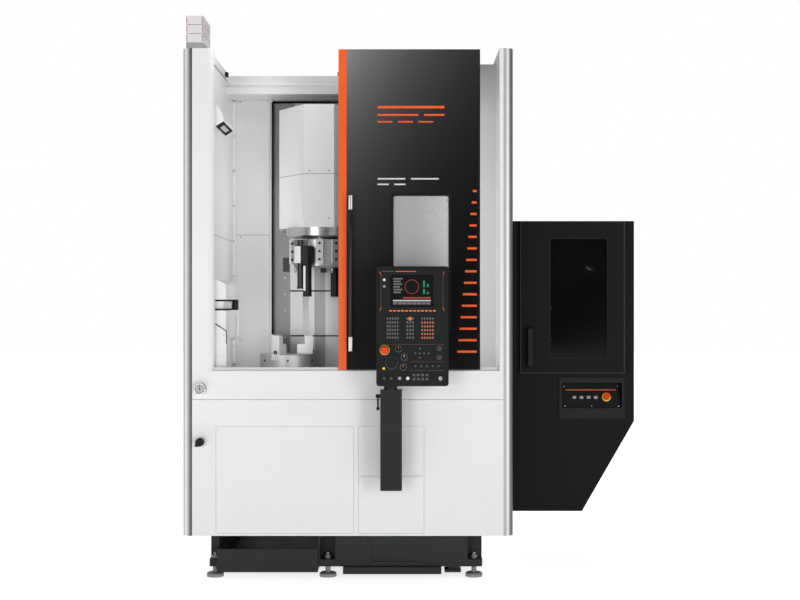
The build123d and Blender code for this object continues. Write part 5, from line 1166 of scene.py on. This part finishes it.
# %% Cover seams and screws
side_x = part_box("right_side_cover")[1].x
roof_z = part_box("top_beam")[1].z
half = 0.0013
seam_corners = (
    ((side_x - 0.001, 0.345 - half, 0.26), (side_x + seam, 0.345 + half, 2.88)),
    ((side_x - 0.001, -0.90, 2.05 - half), (side_x + seam, 0.695, 2.05 + half)),
    ((0.02 - half, back_low.y - 0.012, 0.43), (0.02 + half, back_low.y + seam, 2.29)),
    ((-0.36 - half, -0.30, roof_z - 0.001), (-0.36 + half, 0.69, roof_z + seam)))
fit(join([plate("cover_seams", low, high, 0.0002, 1) for low, high in seam_corners]), seam_dark)
side_steps = [(0, 0.06 * side, 0.46 * row) for row in range(6) for side in (0, 1) if row + side > 0]
screw_row("side_screws", (side_x, 0.315, 0.40), 0.006, side_steps, along=(1, 0, 0))

# %% Eye bolts and cable glands
eye = join([rod("eye_bolts", (-1.08, 0.16, roof_z), upward, 0.012, 0.021, 0.002),
            ring("eye_bolts", (-1.086, 0.16, roof_z + 0.036), (1, 0, 0), 0.012, 0.027, 0.009, 32)])
fit(repeat(eye, [(1.44, 0, 0), (0, 0.42, 0), (1.44, 0.42, 0)]), dark_steel)
cabinet_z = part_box("electrical_cabinet")[1].z
gland_z = cabinet_z + 0.005
fit(plate("gland_plate", (-0.20, 0.90, cabinet_z), (0.06, 1.02, gland_z), 0.001), stainless)
gland = [rod("cable_glands", (-0.15, 0.96, gland_z), upward, 0.014, 0.017, 0.002, 6),
         rod("cable_glands", (-0.15, 0.96, cabinet_z + 0.019), upward, 0.016, 0.013, 0.003)]
fit(repeat(join(gland), [(0.08, 0, 0), (0.16, 0, 0)]), black_plastic)

# %% [markdown]
# ## Bed and signal tower
# A cover plate and a low hatch close the front of the bed, and a bracket for the drain hangs under
# it. The tower's lenses are clear plastic with upright ribs that spread the light of the red
# lamps inside, so one rib is modelled and an array modifier repeats it across each face.

# %% Bed plates
bed_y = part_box("bed_casting")[0].y
hatch = [plate("bed_plates", (-0.430, bed_y - 0.005, 0.070), (-0.236, bed_y, 0.300), 0.0012),
         plate("bed_plates", (-0.234, bed_y - 0.007, 0.070), (0.022, bed_y, 0.092), 0.0015)]
fit(join(hatch), bed_paint)
screw_row("bed_screws", (-0.414, bed_y - 0.005, 0.206), 0.006,
          [(0.162, 0, 0), (0, 0, -0.12), (0.162, 0, -0.12)], "frame", bed_paint)
bracket = [plate("drain_bracket", (0.186, bed_y + 0.02, 0.044), (0.248, bed_y + 0.08, 0.064), 0.0015),
           plate("drain_bracket", (0.166, bed_y + 0.012, 0.028), (0.256, bed_y + 0.088, 0.045), 0.002)]
fit(join(bracket), bed_paint)

# %% Tower lenses
lens_low, lens_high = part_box("signal_tower_lenses")
tier = 0.046
tier_step = (0, 0, 0.049)
rib_wide = 0.0052
rib_left, rib_front = lens_low.x + 0.013, lens_low.y + 0.014
rib_low, rib_high = lens_low.z + 0.003, lens_low.z + tier - 0.003
ribs = plate("tower_ribs", (rib_left, lens_low.y - 0.0008, rib_low),
             (rib_left + rib_wide, lens_low.y + 0.001, rib_high), 0.0008)
ribs = array(ribs, 10, (0.0067, 0, 0))
fit(array(ribs, 3, tier_step), lens_clear)
ribs = plate("tower_side_ribs", (lens_high.x - 0.001, rib_front, rib_low),
             (lens_high.x + 0.0008, rib_front + rib_wide * 2, rib_high), 0.0008)
ribs = array(ribs, 18, (0, 0.0140, 0))
fit(array(ribs, 3, tier_step), lens_clear)
lamp_red = skin("tower_red", (0.55, 0.10, 0.09), (0.66, 0.15, 0.13), (0.3, 0.4), 30.0, 500.0, 0.04)
strip = plate("tower_lamps", (lens_low.x + 0.002, lens_low.y + 0.002, lens_low.z + 0.006),
              (lens_low.x + 0.0075, lens_low.y + 0.006, lens_low.z + tier - 0.006), 0.001, 1)
strip = repeat(strip, [(0.083, 0, 0)])
fit(array(strip, 3, tier_step), lamp_red)
